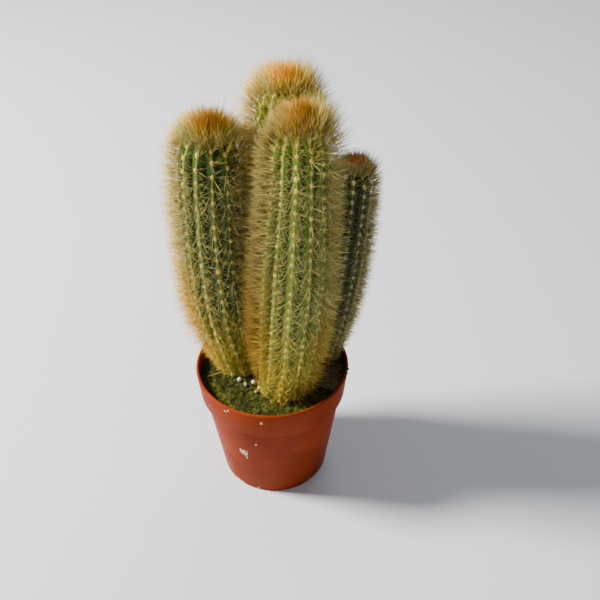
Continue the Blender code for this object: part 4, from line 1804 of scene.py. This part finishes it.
@dataclass(frozen=True)
class Lamp:
    """A square lamp that points at the plant: where it hangs, its side, its watts and its colour."""

    name: str
    place: tuple[float, float, float]
    size: float
    power: float
    color: tuple[float, float, float]
    aim: tuple[float, float, float] = (0.0, 0.0, 0.13)

    def hang(self) -> None:
        """Put the lamp into the scene."""
        data = bpy.data.lights.new(self.name, "AREA")
        data.size = self.size
        data.energy = self.power
        data.color = self.color
        beam = Vector(self.aim) - Vector(self.place)
        turn = beam.to_track_quat("-Z", "Y").to_matrix().to_4x4()
        new_object(self.name, data).matrix_world = Matrix.Translation(self.place) @ turn


@dataclass
class Studio:
    """Camera, pale floor and soft light; lengths in metres, angles in degrees."""

    eye: tuple[float, float, float] = (0.0, -0.3308, 0.3801)
    yaw: float = 2.71
    pitch: float = 38.34
    roll: float = -0.28
    lens: float = 48.1
    sensor: float = 36
    nearest: float = 0.01
    floor_size: float = 8.0
    floor_tints: tuple[Color, Color] = (tint(220, 225, 233), tint(216, 221, 229))
    sky: Color = (0.95, 0.96, 1.0, 1.0)
    sky_strength: float = 0.24
    lamps: tuple[Lamp, ...] = (
        Lamp("key", (-1.12, 0.15, 1.0), 0.35, 72, (1.0, 0.95, 0.86)),
        Lamp("fill", (0.7, -1.1, 0.9), 1.2, 2, (0.92, 0.96, 1.0)),
        Lamp("back", (0.3, 1.0, 1.2), 1.0, 6, (1.0, 0.98, 0.95)),
    )

    def camera(self) -> None:
        """Set the camera."""
        yaw, pitch, roll = (math.radians(value) for value in (self.yaw, self.pitch, self.roll))
        level = math.cos(pitch)
        forward = Vector((math.sin(yaw) * level, math.cos(yaw) * level, -math.sin(pitch)))
        right = Vector((math.cos(yaw), -math.sin(yaw), 0))
        up = right.cross(forward)
        aside = right * math.cos(roll) + up * math.sin(roll)
        upright = up * math.cos(roll) - right * math.sin(roll)
        data = bpy.data.cameras.new("camera")
        data.lens = self.lens
        data.sensor_width = self.sensor
        data.clip_start = self.nearest
        thing = new_object("camera", data)
        turn = Matrix((aside, upright, -forward)).transposed().to_4x4()
        thing.matrix_world = Matrix.Translation(self.eye) @ turn
        bpy.context.scene.camera = thing

    def floor(self) -> None:
        """Lay the floor under the pot."""
        half = self.floor_size / 2
        corners = np.array(((-half, -half, 0), (half, -half, 0), (half, half, 0), (-half, half, 0)))
        mesh = new_mesh("floor", corners, [(0, 1, 2, 3)])
        shading = Shading("floor_paint", 0.8, 0.2)
        shading.surface("Base Color", shading.mix(shading.noise(3, 2), *self.floor_tints))
        mesh.materials.append(shading.material)
        new_object("floor", mesh)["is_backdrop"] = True

    def build(self) -> None:
        """Set up the studio."""
        self.camera()
        self.floor()
        for lamp in self.lamps:
            lamp.hang()
        world = bpy.data.worlds.new("studio")
        world.use_nodes = True
        background = world.node_tree.nodes["Background"]
        background.inputs["Color"].default_value = self.sky
        background.inputs["Strength"].default_value = self.sky_strength
        bpy.context.scene.world = world


def make_stems() -> tuple[Stem, ...]:
    """The four stems with their finishes.

    Returns:
        The stems, from front to right.
    """
    skin = SkinFinish("stem_skin", tint(82, 108, 2), tint(36, 56, 1), tint(140, 132, 12), tint(158, 158, 92))
    deep = SkinFinish("stem_skin_deep", tint(44, 76, 2), tint(14, 30, 1), tint(148, 142, 12),
                      tint(158, 156, 90))
    # Painted shade: a darker copy of the skin for the right stem, which stands in the other stems' shade.
    shaded = SkinFinish("stem_skin_shaded", tint(34, 50, 6), tint(12, 20, 2), tint(74, 78, 22),
                        tint(110, 104, 52))
    straw = SpineFinish("spine_straw", tint(184, 176, 114), tint(202, 176, 72), tint(208, 160, 34),
                        tint(132, 74, 8))
    orange = SpineFinish("spine_orange", tint(186, 178, 114), tint(210, 182, 76), tint(238, 184, 30),
                         tint(240, 150, 2))
    brown = SpineFinish("spine_brown", tint(170, 164, 104), tint(180, 152, 86), tint(190, 134, 66),
                        tint(210, 126, 66))
    felt = SpineFinish("areole_felt", tint(222, 210, 136), tint(226, 198, 98), tint(222, 180, 70),
                       tint(190, 120, 40))
    # Painted shade: a dimmer copy of the areole felt for the right stem, which stands in the other stems'
    # shade.
    shaded_felt = SpineFinish("areole_felt_shaded", tint(176, 174, 130), tint(178, 164, 108), tint(166, 138, 76),
                       tint(130, 92, 42))
    return (
        Stem(
            "stem_front", (5, -12.5, 67), (12.4, -17, 146), (15.5, -16, 228.5), radius=15.9, foot_share=0.86,
            taper=0.24, taper_from=0.48, turn=20, spacing=(5.1, 5.4), spine=12.0, crown_spine=11.0, seed=3,
            skin=skin, spines=straw, felts=felt, wool_tone=0.18, crown_tones=(0.98, 0.44),
            tones=(0.48, 0.14, 0.18), crown_spread=46, core=0.80, flare=0.60, warmth=0.40, dimness=0.80,
            lightness=1.0,
        ),
        Stem(
            "stem_left", (-17.5, 5, 67), (-27.3, 9.5, 126.5), (-26, 9, 213), radius=14.8, foot_share=0.72,
            taper=0.03, taper_from=0.60, turn=9, spacing=(6.0, 7.0), spine=13.5, crown_spine=12.5, seed=5,
            skin=deep, spines=straw, felts=felt, wool_tone=0.22, crown_tones=(1.0, 0.26),
            tones=(0.46, 0.16, 0.20), crown_spread=47, core=0.35, flare=-0.06, warmth=0.42, dimness=0.0,
            lightness=0.74,
        ),
        Stem(
            "stem_back", (6, 22, 67), (8.5, 24, 147), (9.5, 23, 229), radius=15.5, foot_share=0.75,
            taper=0.14, taper_from=0.50, turn=0, spacing=(5.6, 6.6), spine=15.0, crown_spine=11.0, seed=7,
            skin=skin, spines=orange, felts=felt, wool_tone=0.12, crown_tones=(0.94, 0.36),
            tones=(0.42, 0.22, 0.26), crown_spread=38, core=0.45, flare=0.2, warmth=0.15, dimness=0.1,
            lightness=1.0,
        ),
        Stem(
            "stem_right", (26.5, 8, 67), (37.5, 9.5, 125), (42.9, 10.5, 190.5), radius=9.6, foot_share=0.82,
            taper=0.08, taper_from=0.50, turn=12, spacing=(5.0, 5.4), spine=10.0, crown_spine=9.0, seed=9,
            skin=shaded, spines=brown, felts=shaded_felt, wool_tone=0.02, crown_tones=(1.0, 0.16),
            tones=(0.30, 0.10, 0.14), crown_spread=46, core=0.28, flare=0.1, warmth=0.0, dimness=0.0,
            lightness=0.62, ribs=10, crown_count=2200, face_reach=0.62,
        ),
    )


def make_grains() -> tuple[Grain, ...]:
    """The four grains of perlite with their finishes.

    Returns:
        The grains, in the order of their nodes.
    """
    white = GrainFinish("perlite_white", dark=tint(228, 222, 208), light=tint(252, 250, 242))
    grey = GrainFinish("perlite_grey", dark=tint(112, 114, 88), light=tint(156, 158, 130))
    yellow = GrainFinish("perlite_yellow", dark=tint(158, 144, 86), light=tint(204, 190, 130))
    return (
        Grain("perlite_1", (2.6, 2.2, 2.0), 20, white),
        Grain("perlite_2", (2.2, 2.4, 2.0), 70, white),
        Grain("perlite_3", (2.0, 3.2, 1.7), 15, grey),
        Grain("perlite_4", (1.8, 2.2, 1.5), 110, yellow),
    )


def main() -> None:
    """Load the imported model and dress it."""
    logging.basicConfig(level=logging.INFO, format="%(message)s")
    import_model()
    low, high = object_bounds()
    growers = Growers()
    pot = Pot()
    pot.build(growers)
    earth = EarthFinish("soil_finish", tint(112, 90, 64), tint(172, 144, 110))
    Soil(pot.form, earth).build(growers)
    stems = make_stems()
    grains = make_grains()
    Moss(pot.form, stems, grains).build(growers)
    proud = np.array(PROUD) * MM
    places = [grain.box().mean(axis=0) for grain in grains]
    room = Room(stems, pot.form, np.array(low) - proud, np.array(high) + proud, places)
    for stem in stems:
        stem.build(growers, room)
    for grain in grains:
        grain.build()
    rim_earth = EarthFinish("rim_soil", tint(52, 44, 36), tint(112, 100, 84))
    Litter().build(growers, rim_earth, stems[0].spines)
    Studio().build()


if __name__ == "__main__":
    main()
